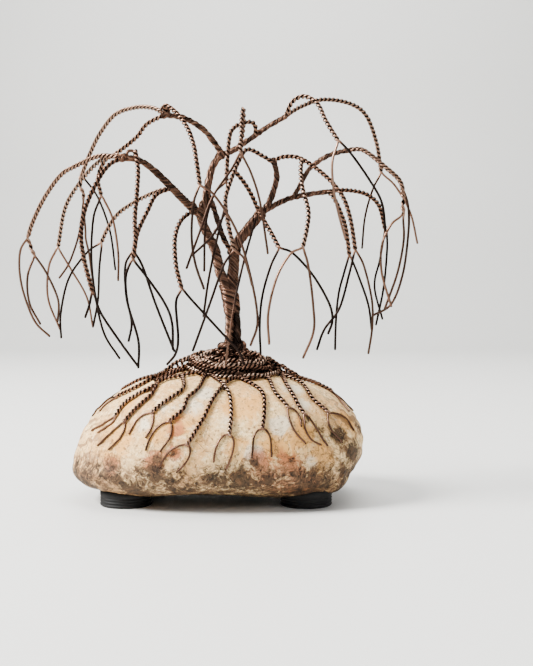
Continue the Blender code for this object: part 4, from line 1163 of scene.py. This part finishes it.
# %% Routes of the twigs
# Each twig: its route from the limb to its fork, and its bare tips
TWIGS = {
    "twig_back_left_high": (
        [(-15.0, 56.7, -3.3), (-17.6, 58.2, 0), (-21.7, 58.3, 5), (-26.1, 56.7, 10), (-29.4, 52.6, 14),
         (-31.7, 48.0, 17), (-33.6, 43.1, 18.5), (-33.95, 41.7, 18.7), (-33.4, 39.6, 19.0),
         (-33.1, 38.4, 19.2)],
        [[(-29.9, 38.2, 19.5), (-27.2, 30.6, 20.5), (-26.0, 22.0, 21)],
         [(-33.1, 36.1, 19.4), (-32.7, 31.1, 19.8), (-32.6, 28.9, 20.0), (-31.9, 25.8, 20.2),
          (-31.4, 22.2, 20.4), (-31.0, 19.4, 20.6)],
         [(-33.4, 35.2, 19.4), (-33.8, 32.1, 19.8), (-34.2, 29.9, 20.0), (-35.1, 26.8, 20.3),
          (-36.6, 23.1, 20.7), (-38.6, 20.2, 21.0)]],
    ),
    "twig_left_high": (
        [(-15.0, 56.7, -3.3), (-19.0, 54.6, -1), (-21.4, 51.6, 1), (-25.9, 48.0, 3.5), (-28.4, 46.4, 5),
         (-29.9, 42.5, 6), (-29.2, 38.8, 6.5)],
        [[(-31.0, 33.0, 7.5), (-31.2, 22.0, 8), (-28.9, 9.0, 8), (-25.0, 2.2, 7.5)],
         [(-26.6, 33.4, 7), (-25.4, 26.0, 8), (-25.4, 19.6, 8)]],
    ),
    "twig_front_far_left": (
        [(-24.4, 47.1, -9), (-27.4, 45.6, -10.5), (-30.0, 42.0, -12), (-32.7, 36.0, -14),
         (-33.7, 30.1, -15.5), (-33.0, 24.3, -16.5), (-31.2, 17.4, -17)],
        [[(-29.2, 12.4, -17.5), (-24.5, 5.4, -18), (-20.8, 0.4, -18)],
         [(-31.8, 14.4, -17.2), (-32.8, 11.4, -17)]],
    ),
    "twig_far_left": (
        [(-24.4, 47.1, -9), (-29.5, 47.5, -6), (-35.0, 45.2, -1), (-38.6, 42.8, 2.5), (-42.6, 36.8, 6),
         (-45.4, 29.7, 8), (-44.3, 25.9, 8.2)],
        [[(-47.3, 26.0, 8.6), (-47.0, 19.0, 9.4), (-44.2, 11.0, 9.6), (-40.6, 7.2, 9.6)],
         [(-45.6, 20.6, 7.6), (-45.2, 14.8, 7.4), (-42.7, 9.9, 7.0)],
         [(-41.4, 21.4, 10.0), (-38.8, 15.4, 11.4), (-38.9, 10.5, 11.8)]],
    ),
    "twig_back_left": (
        [(-23.4, 47.1, -8.6), (-26.6, 47.6, -4), (-30.4, 45.6, 4), (-34.4, 40.9, 11), (-37.3, 35.6, 15),
         (-38.8, 27.2, 17.5)],
        [[(-40.9, 22.6, 18.2), (-41.0, 15.6, 19), (-38.2, 8.5, 19.5)],
         [(-35.9, 22.2, 18.6), (-32.4, 16.0, 20), (-31.0, 9.2, 20.5)]],
    ),
    "twig_inner_left": (
        [(-13.4, 40.4, -4.1), (-16.9, 38.9, -6.5), (-19.0, 35.0, -9), (-21.0, 30.7, -11), (-21.9, 26.6, -12)],
        [[(-23.8, 23.0, -12.6), (-23.6, 16.4, -13.4), (-22.4, 10.4, -13.8), (-23.1, 6.0, -14)],
         [(-19.9, 22.8, -12.6), (-17.0, 14.4, -13.6), (-12.8, 3.8, -14.4)]],
    ),
    "twig_back_inner_left": (
        [(-13.4, 40.4, -4.1), (-16.6, 39.6, -1.4), (-21.0, 37.6, 4), (-25.4, 34.6, 9), (-27.9, 31.0, 11.5),
         (-29.1, 28.3, 12.5)],
        [[(-32.4, 25.9, 13.4), (-36.4, 20.2, 15), (-38.2, 12.4, 15.6), (-38.1, 6.8, 15.8)],
         [(-29.6, 22.4, 13.6), (-29.9, 15.4, 14.4), (-31.0, 9.4, 14.8)]],
    ),
    "twig_front_left": (
        [(-21.4, 46.9, -8.1), (-21.6, 48.6, -10), (-21.0, 44.4, -12.4), (-21.3, 38.6, -15),
         (-21.7, 33.7, -17), (-21.6, 28.3, -18.4), (-22.1, 24.7, -19)],
        [[(-23.7, 20.4, -19.6), (-23.2, 14.4, -20.2), (-20.9, 6.4, -20.6), (-20.9, 0.1, -20.8)],
         [(-19.4, 21.0, -19.6), (-15.2, 15.0, -20.4), (-13.4, 10.4, -20.8), (-13.2, 4.2, -21)]],
    ),
    "twig_front_low_left": (
        [(-8.4, 35.6, -1.8), (-11.2, 33.4, -6), (-12.6, 30.2, -10), (-12.8, 26.3, -13.4),
         (-12.4, 22.4, -16), (-11.3, 18.1, -17.6)],
        [[(-12.5, 14.6, -18.2), (-12.0, 7.0, -18.8), (-12.6, 3.4, -18.8), (-14.6, 0.9, -18.8)],
         [(-8.9, 15.3, -18.2), (-2.4, 8.2, -18.8), (1.4, 4.0, -18.8), (2.6, 1.1, -18.6)]],
    ),
    "twig_front_middle_left": (
        [(-14.4, 56.6, -3.2), (-15.0, 58.8, -5.4), (-12.5, 57.2, -9), (-10.0, 53.8, -12.4),
         (-8.6, 50.0, -15), (-7.9, 46.0, -17), (-7.2, 41.2, -18.2)],
        [[(-8.6, 36.8, -18.8), (-9.0, 29.6, -19.4), (-8.2, 23.6, -19.6), (-6.2, 17.7, -19.6)],
         [(-3.8, 38.6, -17.8), (1.1, 30.6, -17.4), (4.3, 20.0, -17), (5.7, 10.7, -17), (4.1, 5.1, -17)]],
    ),
    "twig_crown_front": (
        [(1.6, 49.6, 1.2), (2.3, 52.0, -0.4), (2.6, 55.5, -2.6), (2.55, 58.0, -4.8), (2.2, 56.4, -6.4),
         (2.1, 53.0, -8.0), (1.9, 48.4, -9.6)],
        [[(-0.2, 44.4, -10.4), (-4.4, 38.2, -11.6), (-7.4, 30.0, -12.4), (-10.2, 22.3, -12.8)],
         [(4.3, 43.6, -10.2), (6.2, 37.5, -11), (7.6, 28.6, -11.6), (8.0, 25.6, -11.6)]],
    ),
    "twig_crown_left": (
        [(5.2, 52.0, 1.5), (5.3, 53.8, 0.6), (4.6, 55.0, -0.4), (3.4, 55.1, -1.4), (2.0, 54.7, -2.2),
         (0.6, 54.0, -3.0), (-0.35, 52.7, -4), (-0.8, 50.0, -4.6), (-1.0, 47.6, -5.2), (-1.3, 42.0, -6)],
        [[(-4.0, 38.9, -5.8), (-5.9, 32.0, -6), (-6.2, 21.7, -6.2)],
         [(-1.4, 37.0, -6.8), (-3.2, 29.6, -7.2), (-5.2, 20.0, -7.6), (-6.4, 11.5, -7.8)]],
    ),
    "twig_front_arch": (
        [(9.3, 46.0, -0.3), (7.1, 47.4, -1.6), (3.4, 49.0, -3.4), (1.3, 46.0, -6), (-0.7, 40.9, -8.6),
         (-1.5, 37.4, -9.8), (-0.9, 32.6, -11), (0.4, 26.7, -12)],
        [[(-1.9, 23.0, -12.6), (-5.1, 14.1, -13.2), (-8.8, 3.9, -13.6)],
         [(2.6, 24.8, -12.4), (3.8, 21.4, -12.8), (4.5, 18.5, -13)]],
    ),
    "twig_front_low_right": (
        [(0.6, 44.2, -7.0), (2.7, 41.6, -6.4), (4.5, 38.6, -5.2), (6.0, 35.2, -3.2), (7.4, 32.6, -6),
         (8.9, 30.0, -10), (10.4, 27.1, -13)],
        [[(8.6, 22.8, -13.8), (6.8, 16.4, -14.4), (6.2, 10.0, -14.8), (6.4, 3.2, -15)],
         [(13.6, 25.8, -13.6), (18.0, 21.0, -14.4), (21.6, 14.8, -15), (22.4, 10.9, -15), (21.4, 7.7, -15)]],
    ),
    "twig_front_right": (
        [(15.6, 46.9, -2.6), (15.3, 44.4, -5.6), (15.7, 40.4, -9), (17.0, 35.4, -12), (16.7, 31.4, -14),
         (15.8, 27.3, -15.4)],
        [[(13.0, 25.6, -15.8), (10.0, 20.4, -16.4), (8.1, 12.4, -17), (8.3, 5.4, -17.2)],
         [(17.1, 22.6, -16), (18.1, 14.4, -16.8), (18.2, 8.4, -17.2), (15.8, 2.3, -17.4)]],
    ),
    "twig_right_arch": (
        [(9.2, 46.2, -0.4), (11.4, 47.3, -1.4), (15.4, 46.9, -2.6), (20.9, 43.0, -4.6), (24.6, 38.6, -6.2),
         (26.4, 33.4, -7.4), (27.5, 26.6, -8.4)],
        [[(26.2, 21.4, -9), (24.0, 13.6, -9.4), (20.6, 8.8, -9.6), (18.9, 4.2, -9.6)],
         [(29.5, 22.8, -9), (31.2, 15.4, -9.6), (31.3, 9.4, -10), (30.4, 3.3, -10)]],
    ),
    "twig_middle_right": (
        [(21.4, 39.5, 2.4), (22.7, 38.2, 0.8), (24.3, 34.8, 0.4), (25.4, 31.4, 1), (26.2, 25.4, 1.8)],
        [[(25.0, 21.4, 2), (23.8, 16.8, 2.2), (23.2, 10.8, 2.4), (23.0, 4.2, 2.4)],
         [(28.2, 20.8, 2), (30.4, 14.4, 2.4), (31.2, 8.5, 2.6)]],
    ),
    "twig_right": (
        [(22.3, 39.7, 2.6), (25.7, 39.9, 4), (30.0, 39.0, 6.4), (32.8, 36.4, 8.4), (34.2, 31.1, 10)],
        [[(33.0, 24.4, 10.8), (31.8, 18.4, 11.4), (33.6, 11.0, 11.8)],
         [(34.6, 26.4, 10), (33.8, 18.0, 10.2), (32.1, 9.7, 10.4)]],
    ),
    "twig_far_right": (
        [(26.8, 49.0, -0.4), (29.5, 48.7, -1.4), (33.9, 45.3, -2.6), (37.4, 42.0, -3.4), (38.2, 38.6, -3.8),
         (38.1, 34.5, -4)],
        [[(35.6, 32.3, -4.4), (33.5, 27.8, -4.8), (33.4, 21.6, -5), (35.6, 13.8, -5)],
         [(38.3, 28.6, -4.2), (36.9, 21.4, -4.4), (34.0, 13.2, -4.4)],
         [(39.3, 36.4, -3.2), (39.4, 31.0, -2.8), (38.2, 21.6, -2.6), (35.6, 14.6, -2.4),
          (31.4, 11.9, -2.2)]],
    ),
    "twig_upper_right_front": (
        [(11.9, 56.3, 2.4), (13.5, 59.6, 0.6), (16.1, 60.8, -2), (19.0, 59.2, -5), (20.9, 55.4, -8),
         (23.6, 51.0, -10.4)],
        [[(22.4, 46.2, -11), (22.6, 40.8, -11.6), (23.6, 35.4, -12), (25.4, 28.7, -12.4)],
         [(26.6, 48.0, -11), (30.4, 42.6, -12), (33.4, 37.2, -12.8), (34.3, 30.6, -13.2)]],
    ),
    "twig_upper_right_back": (
        [(11.6, 56.2, 2.3), (15.1, 58.4, 4.6), (20.1, 60.1, 7.4), (26.1, 59.3, 10), (29.9, 56.6, 12),
         (32.2, 50.6, 13.6), (33.3, 43.9, 14.6)],
        [[(36.6, 40.6, 15.4), (39.8, 34.8, 16), (41.4, 27.9, 16.4)],
         [(31.4, 40.0, 15.2), (29.7, 34.0, 16), (29.0, 26.8, 16.4)]],
    ),
}

SINGLE_WIRES = {
    # its tone, how much brighter it gets low down, and its route
    "wire_curl": (0.2, 0.0, [(-1.3, 35.4, -10.3), (-2.6, 32.8, -11.6), (-4.6, 29.4, -13), (-9.1, 25.2, -14)]),
    "wire_front": (0.14, 0.40, [(5.4, 33.6, -0.4), (4.9, 32.0, -4), (2.9, 25.0, -9), (0.8, 16.0, -12),
                                (-0.6, 7.4, -14), (-1.4, 1.1, -14.6)]),
}

# Brightness of each twig's pair, and of its bare tips where they differ from it
PAIR_TONES = {
    "twig_back_left_high": 0.60, "twig_left_high": 0.54, "twig_front_far_left": 0.42, "twig_far_left": 0.56,
    "twig_back_left": 0.62, "twig_inner_left": 0.52, "twig_back_inner_left": 0.60, "twig_front_left": 0.50,
    "twig_front_low_left": 0.50, "twig_front_middle_left": 0.54, "twig_crown_front": 0.56,
    "twig_crown_left": 0.54, "twig_front_arch": 0.56, "twig_front_low_right": 0.50, "twig_front_right": 0.60,
    "twig_right_arch": 0.50, "twig_middle_right": 0.52, "twig_right": 0.48, "twig_far_right": 0.56,
    "twig_upper_right_front": 0.58, "twig_upper_right_back": 0.58,
}
TIP_TONES = {
    "twig_back_left_high": (0.14, 0.40, 0.30),
    "twig_left_high": (0.14, 0.46), "twig_front_middle_left": (0.26, 0.34), "twig_crown_front": (0.26, 0.36),
    "twig_front_low_right": (0.08, 0.08), "twig_front_right": (0.52, 0.40),
    "twig_far_right": (0.50, 0.34, 0.28),
    "twig_upper_right_front": (0.56, 0.10), "twig_upper_right_back": (0.46, 0.24),
    "twig_far_left": (0.38, 0.36, 0.32), "twig_back_left": (0.46, 0.46), "twig_right_arch": (0.08, 0.34),
    "twig_front_arch": (0.18, 0.34), "twig_crown_left": (0.26, 0.22),
}
USUAL_TIP_TONE = 0.12
LOW_ENDS_BELOW = 17.0
LOW_END_THINNER = 0.12

# Twigs of three wires that open in two steps: where a wire that goes early leaves the line
LEAVES = {
    "twig_back_left_high": [(-33.6, 43.1, 18.5), None, None],
    "twig_far_left": [(-45.4, 29.7, 8), None, None],
    "twig_far_right": [None, None, (38.0, 39.4, -3.7)],
}
TRIO_LAY = 1.45
TRIO_STRAND = 0.46
FORK_STRETCH = 5.0
EARLY_OWN = 0.85
TIP_END = 0.72


def eased(path, around, width, passes=10):
    """The path with its bend round one place drawn out over a few places each side."""
    path = path.copy()
    first, last = max(1, around - width), min(len(path) - 1, around + width)
    for _ in range(passes):
        path[first:last] = (path[first - 1:last - 1] + 2 * path[first:last] + path[first + 1:last + 1]) / 4
    return path


def forked(line, tip_routes, tone, tip_tones, leaves=None, tip_wire=WIRE, least=0.5, soft=4,
           size=PAIR, lay=LAY):
    """Strands that wind round one line and then run on as bare tips; a tip may leave early.

    Near its fork a strand stops being measured against the line and becomes its own centre, so
    that the copper there doesn't get the painted crevice shade.
    """
    count = len(tip_routes)
    line = np.concatenate([line, line[-1] + np.outer(np.arange(1, 4), line[-1] - line[-2])])
    lay = lay if count == 2 else lay * TRIO_LAY
    thick = size / 2 if count == 2 else size * TRIO_STRAND
    side, up = square_to(line)
    first_way = np.array(tip_routes[0][0]) - line[-1]
    want = math.atan2(np.dot(first_way, up[-1]), np.dot(first_way, side[-1]))
    start = want + turned_along(line, lay, least)[-1]
    forks = [len(line) - 1] * count
    for i in range(count):
        if leaves and leaves[i]:
            away = np.linalg.norm(line - np.array(laid_back(leaves[i])), axis=1)
            forks[i] = int(np.argmin(away))
    made = []
    for i, tip in enumerate(tip_routes):
        path = wound(line, (size - thick) / 2, lay, start + 2 * math.pi * i / count, least)
        fork = forks[i]
        tail = smooth([Vector(path[fork])] + [Vector(p) for p in tip], BARE_STEP)
        whole = eased(np.concatenate([path[:fork], tail]), fork, soft)
        place = np.arange(len(whole))
        share = np.clip((place - fork + 1) / FORK_STRETCH, 0.0, 1.0)
        thickness = thick + (tip_wire - thick) * share
        own = np.clip((place - fork + 8) / FORK_STRETCH, 0.0, 1.0)
        own = np.maximum(own, EARLY_OWN * np.clip((place - min(forks) + 5) / FORK_STRETCH, 0.0, 1.0))
        core = whole.copy()
        core[:fork] += (line[:fork] - whole[:fork]) * (1 - own[:fork, None])
        reach = size / 2 + (thickness / 2 - size / 2) * own
        thickness[-1] *= TIP_END
        made.append(strand(whole, thickness, tone + (tip_tones[i] - tone) * share, core, reach))
    return made


def build_twig(name):
    route, tips = TWIGS[name]
    line = smooth([laid_back(p) for p in route], RING_STEP)
    tip_routes = [[laid_back(p) for p in tip] for tip in tips]
    tip_tones = TIP_TONES.get(name, (USUAL_TIP_TONE,) * len(tips))
    return forked(line, tip_routes, PAIR_TONES[name], tip_tones, LEAVES.get(name))


for name in TWIGS:
    put_wires("wound_" + name, build_twig(name), name, sides=FINE_SIDES)
for name, (tone, brighter, route) in SINGLE_WIRES.items():
    line = smooth([laid_back(p) for p in route], BARE_STEP)
    low = np.clip((LOW_ENDS_BELOW - line[:, 2]) / 8.0, 0.0, 1.0)
    wire = strand(line, WIRE - LOW_END_THINNER * low, tone + brighter * low)
    put_wires("bare_" + name, [wire], name, sides=FINE_SIDES)
print("twigs:", len(TWIGS), "and single wires:", len(SINGLE_WIRES))

# %% [markdown]
# ## The nest round the trunk's foot
# Where the trunk meets the stone, the spare wire is wound round and round in a ragged mound. A neat
# coil would look machine-made, so each turn here is its own cord with its own wobble in radius and
# height. Layers of cords are laid over each other, widest at the bottom, and short loops cross them
# from the rim to the trunk. More cords run along the lower edge, slope off the shoulders and stand
# there as open loops. The dice are seeded, so the mound is the same every run.

# %% Nest
NEST_LAYERS = [
    # turns, inner radius, outer radius, height over the stone
    (4, 5.2, 10.8, 0.60),
    (4, 4.6, 10.6, 1.35),
    (4, 4.0, 10.2, 2.10),
    (4, 3.2, 9.4, 2.75),
    (2, 2.8, 5.0, 3.60),
]
NEST_CORD = 1.08
NEST_LAY = 1.95
EDGE_CORD = 0.95
LOOP_CORD = 0.72
LOOP_LAY = 1.5
NEST_STEP = 0.24
NEST_SEED = 21
TURN_STEPS = 60
LOWEST_IN_NEST = 0.55
CROSSING_LOOPS = 13
CROSSING_END = 3.2
# How a loop climbs from the rim to the trunk: the share of its way, and its height there
CROSSING_CLIMB = ((0.0, 0.55), (0.16, 2.2), (0.45, 3.3), (0.75, 3.9), (1.0, 3.0))


def rested(point, lift):
    """The nearest place on the stone to a point, raised by some lift; both in millimetres from the crest."""
    spot, normal, _, _ = STONE_TREE.find_nearest(in_world(point))
    return (spot - CREST) / MM + normal * lift


def drawn(across, up):
    """The place on the stone behind a point of the front drawing, in millimetres from the crest."""
    return (seen_on_stone(across, up) - CREST) / MM


def laid_on_stone(points, lift, step):
    """A smooth route through the points, pressed down on the stone all along."""
    line = smooth(points, 1.0)
    rest = [rested(p, lift) for p in line]
    return smooth(rest, step)


def ground_at(x, y):
    """Height of the stone's top at a place in plan, in millimetres from the crest."""
    above = in_world((x, y, 30))
    hit = STONE_TREE.ray_cast(above, Vector((0, 0, -1)))[0]
    return (hit.z - CREST.z) / MM if hit else 0.0


def over_stone(reach, angle, lift):
    """A place at some reach and angle from the trunk in plan, lifted off the stone below it."""
    x, y = reach * math.cos(angle), reach * math.sin(angle)
    return (x, y, ground_at(x, y) + lift)


def nest_turn(radius, height, dice):
    """One ragged turn of cord round the trunk."""
    waves = [(k, dice.uniform(0.2, 0.65) / k ** 0.5, dice.uniform(0, 6.28)) for k in (2, 3, 5, 9)]
    lifts = [(k, dice.uniform(0.10, 0.30), dice.uniform(0, 6.28)) for k in (2, 4, 7, 11)]
    begin = dice.uniform(0, 2 * math.pi)
    sweep = 2 * math.pi * dice.uniform(0.9, 1.15)
    points = []
    for i in range(TURN_STEPS + 1):
        angle = begin + sweep * i / TURN_STEPS
        r = radius + sum(size * math.sin(k * angle + phase) for k, size, phase in waves)
        lift = height + sum(size * math.sin(k * angle + phase) for k, size, phase in lifts)
        points.append(over_stone(r, angle, max(LOWEST_IN_NEST, lift)))
    return points


def crossing_loop(number, dice):
    """A cord that climbs over the turns from the nest's rim to the trunk."""
    angle = 2 * math.pi * (number + dice.uniform(-0.3, 0.3)) / CROSSING_LOOPS
    turn = dice.uniform(0.25, 0.6) * dice.choice((-1, 1))
    rim = dice.uniform(8.5, 11.2)
    points = []
    for share, lift in CROSSING_CLIMB:
        lift += dice.uniform(-0.25, 0.25)
        points.append(over_stone(rim + (CROSSING_END - rim) * share, angle + turn * share, lift))
    return points


EDGE_CORDS = [
    # cords that run along the nest's lower edge and link the roots, across and up
    [(-19.4, -5.4), (-17.4, -4.2), (-14.6, -2.6), (-11.1, -1.9), (-5.6, -1.0)],
    [(-5.6, -1.0), (-3.9, -2.4), (-1.9, -3.9)],
    [(-1.9, -3.9), (-0.6, -3.0), (1.5, -2.3), (4.6, -2.5), (7.6, -1.7), (9.2, -1.4), (11.0, -1.6),
     (13.4, -0.9)],
    [(-7.4, -1.6), (-2.4, -1.6), (2.6, -1.8), (6.4, -1.2)],
    [(-17.2, -2.4), (-14.5, -1.0), (-12.0, 0.2), (-9.6, 1.2), (-8.0, 2.0)],
    [(-17.2, -3.2), (-14.0, -1.9), (-11.5, -0.9), (-8.5, -0.2)],
    [(8.6, 1.6), (11.5, 0.5), (14.5, -0.4), (17.6, -1.8), (19.8, -3.1)],
]
NEST_RINGS = [
    # open loops at the nest's shoulders: across, up, back, radius
    (-12.7, 0.3, -2.0, 0.90), (-10.3, 1.3, -3.0, 0.80), (-12.6, -1.4, -2.4, 0.65), (-14.3, -1.0, -2.4, 0.60),
    (11.4, 0.1, -1.8, 0.75), (10.0, -0.4, -3.0, 0.60), (-8.1, 2.5, -2.6, 0.70),
]
SHOULDER_CORDS = [
    # cords that slope off the nest's shoulders a little above the stone: across, up, back
    [(-6.4, 4.0, -1.0), (-8.8, 3.0, -1.4), (-10.6, 2.3, -1.6), (-12.5, 1.5, -1.8), (-14.0, 0.4, -2.2),
     (-15.8, -1.0, -2.8), (-17.7, -2.5, -3.4)],
    [(-7.4, 2.6, -3.4), (-9.2, 1.4, -3.6), (-11.2, 0.4, -3.6), (-13.2, -0.5, -3.6), (-15.4, -2.0, -4.0)],
    [(7.6, 2.7, -1.0), (8.9, 2.0, -1.2), (10.5, 0.9, -1.5), (12.0, 0.1, -1.8), (13.3, -0.6, -2.2),
     (14.5, -1.3, -2.6)],
]


def build_nest():
    dice = random.Random(NEST_SEED)
    made = []

    def cord(line, size, darkest, brightest):
        tone = dice.uniform(darkest, brightest)
        made.extend(pair_strands(line, size, NEST_LAY, tone, dice.uniform(0, 6.28)))

    for turns, inner, outer, height in NEST_LAYERS:
        for i in range(turns):
            radius = inner + (outer - inner) * (i + 0.5) / turns + dice.uniform(-0.3, 0.3)
            cord(smooth(nest_turn(radius, height, dice), NEST_STEP), NEST_CORD, 0.28, 0.80)
    for i in range(CROSSING_LOOPS):
        cord(smooth(crossing_loop(i, dice), RING_STEP), NEST_CORD, 0.4, 0.75)
    for route in EDGE_CORDS:
        line = laid_on_stone([drawn(*p) for p in route], EDGE_CORD / 2 + 0.1, RING_STEP)
        cord(line, EDGE_CORD, 0.4, 0.6)
    for across, up, back, radius in NEST_RINGS:
        face = (dice.uniform(-0.9, 0.9), -1.0, dice.uniform(-0.6, 0.6))
        loop = even(ring(laid_back((across, up, back)), radius, face, wobble=0.2), 0.15)
        made.extend(pair_strands(loop, LOOP_CORD, LOOP_LAY, dice.uniform(0.35, 0.6)))
    for route in SHOULDER_CORDS:
        cord(smooth([laid_back(p) for p in route], RING_STEP), EDGE_CORD, 0.4, 0.6)
    return made


nest_strands = build_nest()
put_wires("wound_nest", nest_strands, "root_nest")
print("nest:", len(nest_strands), "strands")

# %% [markdown]
# ## The roots
# The roots are pairs of a slightly thinner wire, pressed down over the stone. Each is drawn from the
# front and thrown onto the fine stone surface along the line of sight, so it follows every dip and
# never floats. Most hang from the cord along the nest's lower edge. The back has a plainer fan of
# them. Like a twig, a root opens at its end into two wires that curve apart like a wishbone and
# lie on the stone.

# %% Routes of the roots
# Front roots: the twisted route down to the fork, and the two bare tips, across and up
FRONT_ROOTS = [
    ([(-12.6, 0.2), (-20.1, -3.8), (-25.4, -6.5)],
     [[(-27.2, -7.4), (-29.4, -9.6)], [(-27.0, -6.6), (-29.4, -8.4), (-31.0, -10.6)]]),
    ([(-17.4, -4.2), (-23.9, -8.1), (-25.7, -10.6)],
     [[(-26.6, -11.1), (-28.6, -12.4), (-31.2, -13.9)], [(-26.3, -11.8), (-28.0, -13.1), (-29.8, -14.3)]]),
    ([(-16.6, -3.8), (-17.9, -6.0), (-20.1, -8.0), (-23.7, -11.8)],
     [[(-24.8, -12.5), (-27.2, -14.7), (-29.9, -17.2)], [(-23.9, -13.6), (-25.2, -15.9), (-27.5, -18.1)]]),
    ([(-11.1, -1.9), (-10.8, -4.5), (-13.8, -6.9), (-17.6, -9.8)],
     [[(-19.4, -10.2), (-20.9, -11.3), (-22.0, -12.9), (-22.9, -14.7)],
      [(-17.5, -11.1), (-17.9, -13.1), (-19.2, -15.5)]]),
    ([(-5.6, -1.2), (-7.4, -4.5), (-9.9, -6.7), (-10.8, -9.2), (-13.7, -11.7)],
     [[(-15.4, -12.3), (-17.0, -13.6), (-18.3, -15.6), (-19.2, -18.3)],
      [(-13.4, -13.1), (-13.8, -15.4), (-16.0, -18.5)]]),
    ([(-1.9, -3.9), (-4.7, -7.7), (-6.5, -11.4), (-9.8, -16.8)],
     [[(-11.5, -17.1), (-13.6, -18.1), (-14.9, -19.7), (-16.2, -22.1)],
      [(-9.3, -18.1), (-9.9, -20.4), (-12.4, -23.1)]]),
    ([(-1.9, -3.9), (-0.7, -5.8), (-0.2, -9.6), (-0.6, -14.6)],
     [[(-1.8, -14.9), (-2.9, -16.1), (-3.7, -18.1), (-4.1, -20.9)],
      [(0.3, -15.6), (0.3, -17.7), (-0.4, -20.2), (-1.4, -22.5)]]),
    ([(1.5, -2.3), (6.4, -5.2), (7.1, -9.6), (6.7, -13.3)],
     [[(5.5, -14.0), (4.8, -15.4), (4.6, -17.7), (4.4, -19.9)],
      [(7.7, -13.8), (8.5, -15.4), (8.7, -17.4), (8.8, -19.7)]]),
    ([(7.6, -1.7), (9.4, -5.4), (12.3, -8.7)],
     [[(12.4, -9.9), (12.9, -11.8), (14.2, -14.3), (16.4, -16.7)],
      [(13.9, -9.2), (15.1, -11.1), (15.4, -13.0)]]),
    ([(11.0, -1.6), (11.9, -3.6), (14.5, -8.1), (15.8, -10.0)],
     [[(16.1, -11.8), (16.3, -13.6), (17.6, -15.8), (19.9, -17.0)],
      [(17.0, -10.8), (18.6, -13.1), (20.2, -15.8), (21.3, -17.2)]]),
    ([(11.0, -1.6), (15.4, -3.6), (17.6, -6.7), (21.2, -10.0)],
     [[(22.9, -10.0), (24.6, -10.6), (25.9, -11.8), (27.0, -13.8)],
      [(21.3, -11.5), (22.0, -13.6), (24.5, -16.5)]]),
    ([(11.4, 0.6), (15.4, -1.2), (19.0, -3.0), (22.1, -4.9)],
     [[(24.6, -6.4), (27.2, -9.3)], [(23.4, -6.4), (26.0, -9.6)]]),
]

ROOT_PAIR = 0.96
ROOT_WIRE = 0.42
ROOT_LAY = 1.75
BACK_ROOTS = 8
BACK_ROOT_FAN = (12.0, 168.0)
BACK_ROOT_REACH = (0.50, 0.62)
BACK_ROOT_WANDER = 4.0
ROOT_TIP_REACH = 0.26
ROOT_TIP_SPREAD = 7.0
ROOT_TIP_CLOSING = 0.8
ROOT_TIP_DARKER = 0.62
ROOT_GAP = 0.02
ROOT_SEED = 8
FRONT_ROOT_TURNS = 0.75
NEST_RADIUS = 10.4
UNDER_NEST = -0.08


def build_root(route, tips, tone, least=1.0):
    """A pair pressed onto the stone, with its two bare tips."""
    line = laid_on_stone(route, ROOT_PAIR / 2 + ROOT_GAP, RING_STEP)
    tip_routes = []
    for tip in tips:
        tip_line = laid_on_stone([line[-1]] + tip, ROOT_WIRE / 2 + ROOT_GAP, 0.5)
        tip_routes.append([tuple(p) for p in tip_line[1:]])
    tip_tones = (tone * ROOT_TIP_DARKER, tone * ROOT_TIP_DARKER)
    return forked(line, tip_routes, tone, tip_tones, tip_wire=ROOT_WIRE, least=least, soft=2,
                  size=ROOT_PAIR, lay=ROOT_LAY)


def towards_rim(bearing, share):
    """A place some share of the way from the nest's edge to the stone's rim, as the frame's fan has it."""
    angle = math.radians(bearing)
    half_length = STONE_HALF.x / MM - math.copysign(TRUNK_FROM_MIDDLE, math.cos(angle))
    half_depth = STONE_HALF.y / MM
    rim = 1 / math.hypot(math.cos(angle) / half_length, math.sin(angle) / half_depth)
    reach = NEST_RADIUS + PAIR + (rim - NEST_RADIUS - PAIR) * share
    return Vector(over_stone(reach, angle, 0.0))


def back_root(number):
    """The route of one root of the fan behind, and its two tips."""
    first, last = BACK_ROOT_FAN
    bearing = first + (last - first) * number / (BACK_ROOTS - 1)
    reach = BACK_ROOT_REACH[number % 2]
    wander = BACK_ROOT_WANDER * (-1) ** number
    route = [towards_rim(bearing, UNDER_NEST), towards_rim(bearing + wander, reach / 3),
             towards_rim(bearing - wander, reach * 2 / 3), towards_rim(bearing, reach)]
    tips = []
    for spread in (-ROOT_TIP_SPREAD, ROOT_TIP_SPREAD):
        tips.append([towards_rim(bearing + spread, reach + ROOT_TIP_REACH / 2),
                     towards_rim(bearing + spread * ROOT_TIP_CLOSING, reach + ROOT_TIP_REACH)])
    return route, tips


# %% Build the roots
dice = random.Random(ROOT_SEED)
for i, (route, tips) in enumerate(FRONT_ROOTS):
    tip_places = [[drawn(*p) for p in tip] for tip in tips]
    strands = build_root([drawn(*p) for p in route], tip_places, dice.uniform(0.50, 0.66), FRONT_ROOT_TURNS)
    put_wires(f"wound_root_front_{i + 1}", strands, f"root_front_{i + 1}", sides=FINE_SIDES)
for i in range(BACK_ROOTS):
    route, tips = back_root(i)
    strands = build_root(route, tips, dice.uniform(0.34, 0.50))
    put_wires(f"wound_root_back_{i + 1}", strands, f"root_back_{i + 1}", sides=FINE_SIDES)
print("roots:", len(FRONT_ROOTS) + BACK_ROOTS)
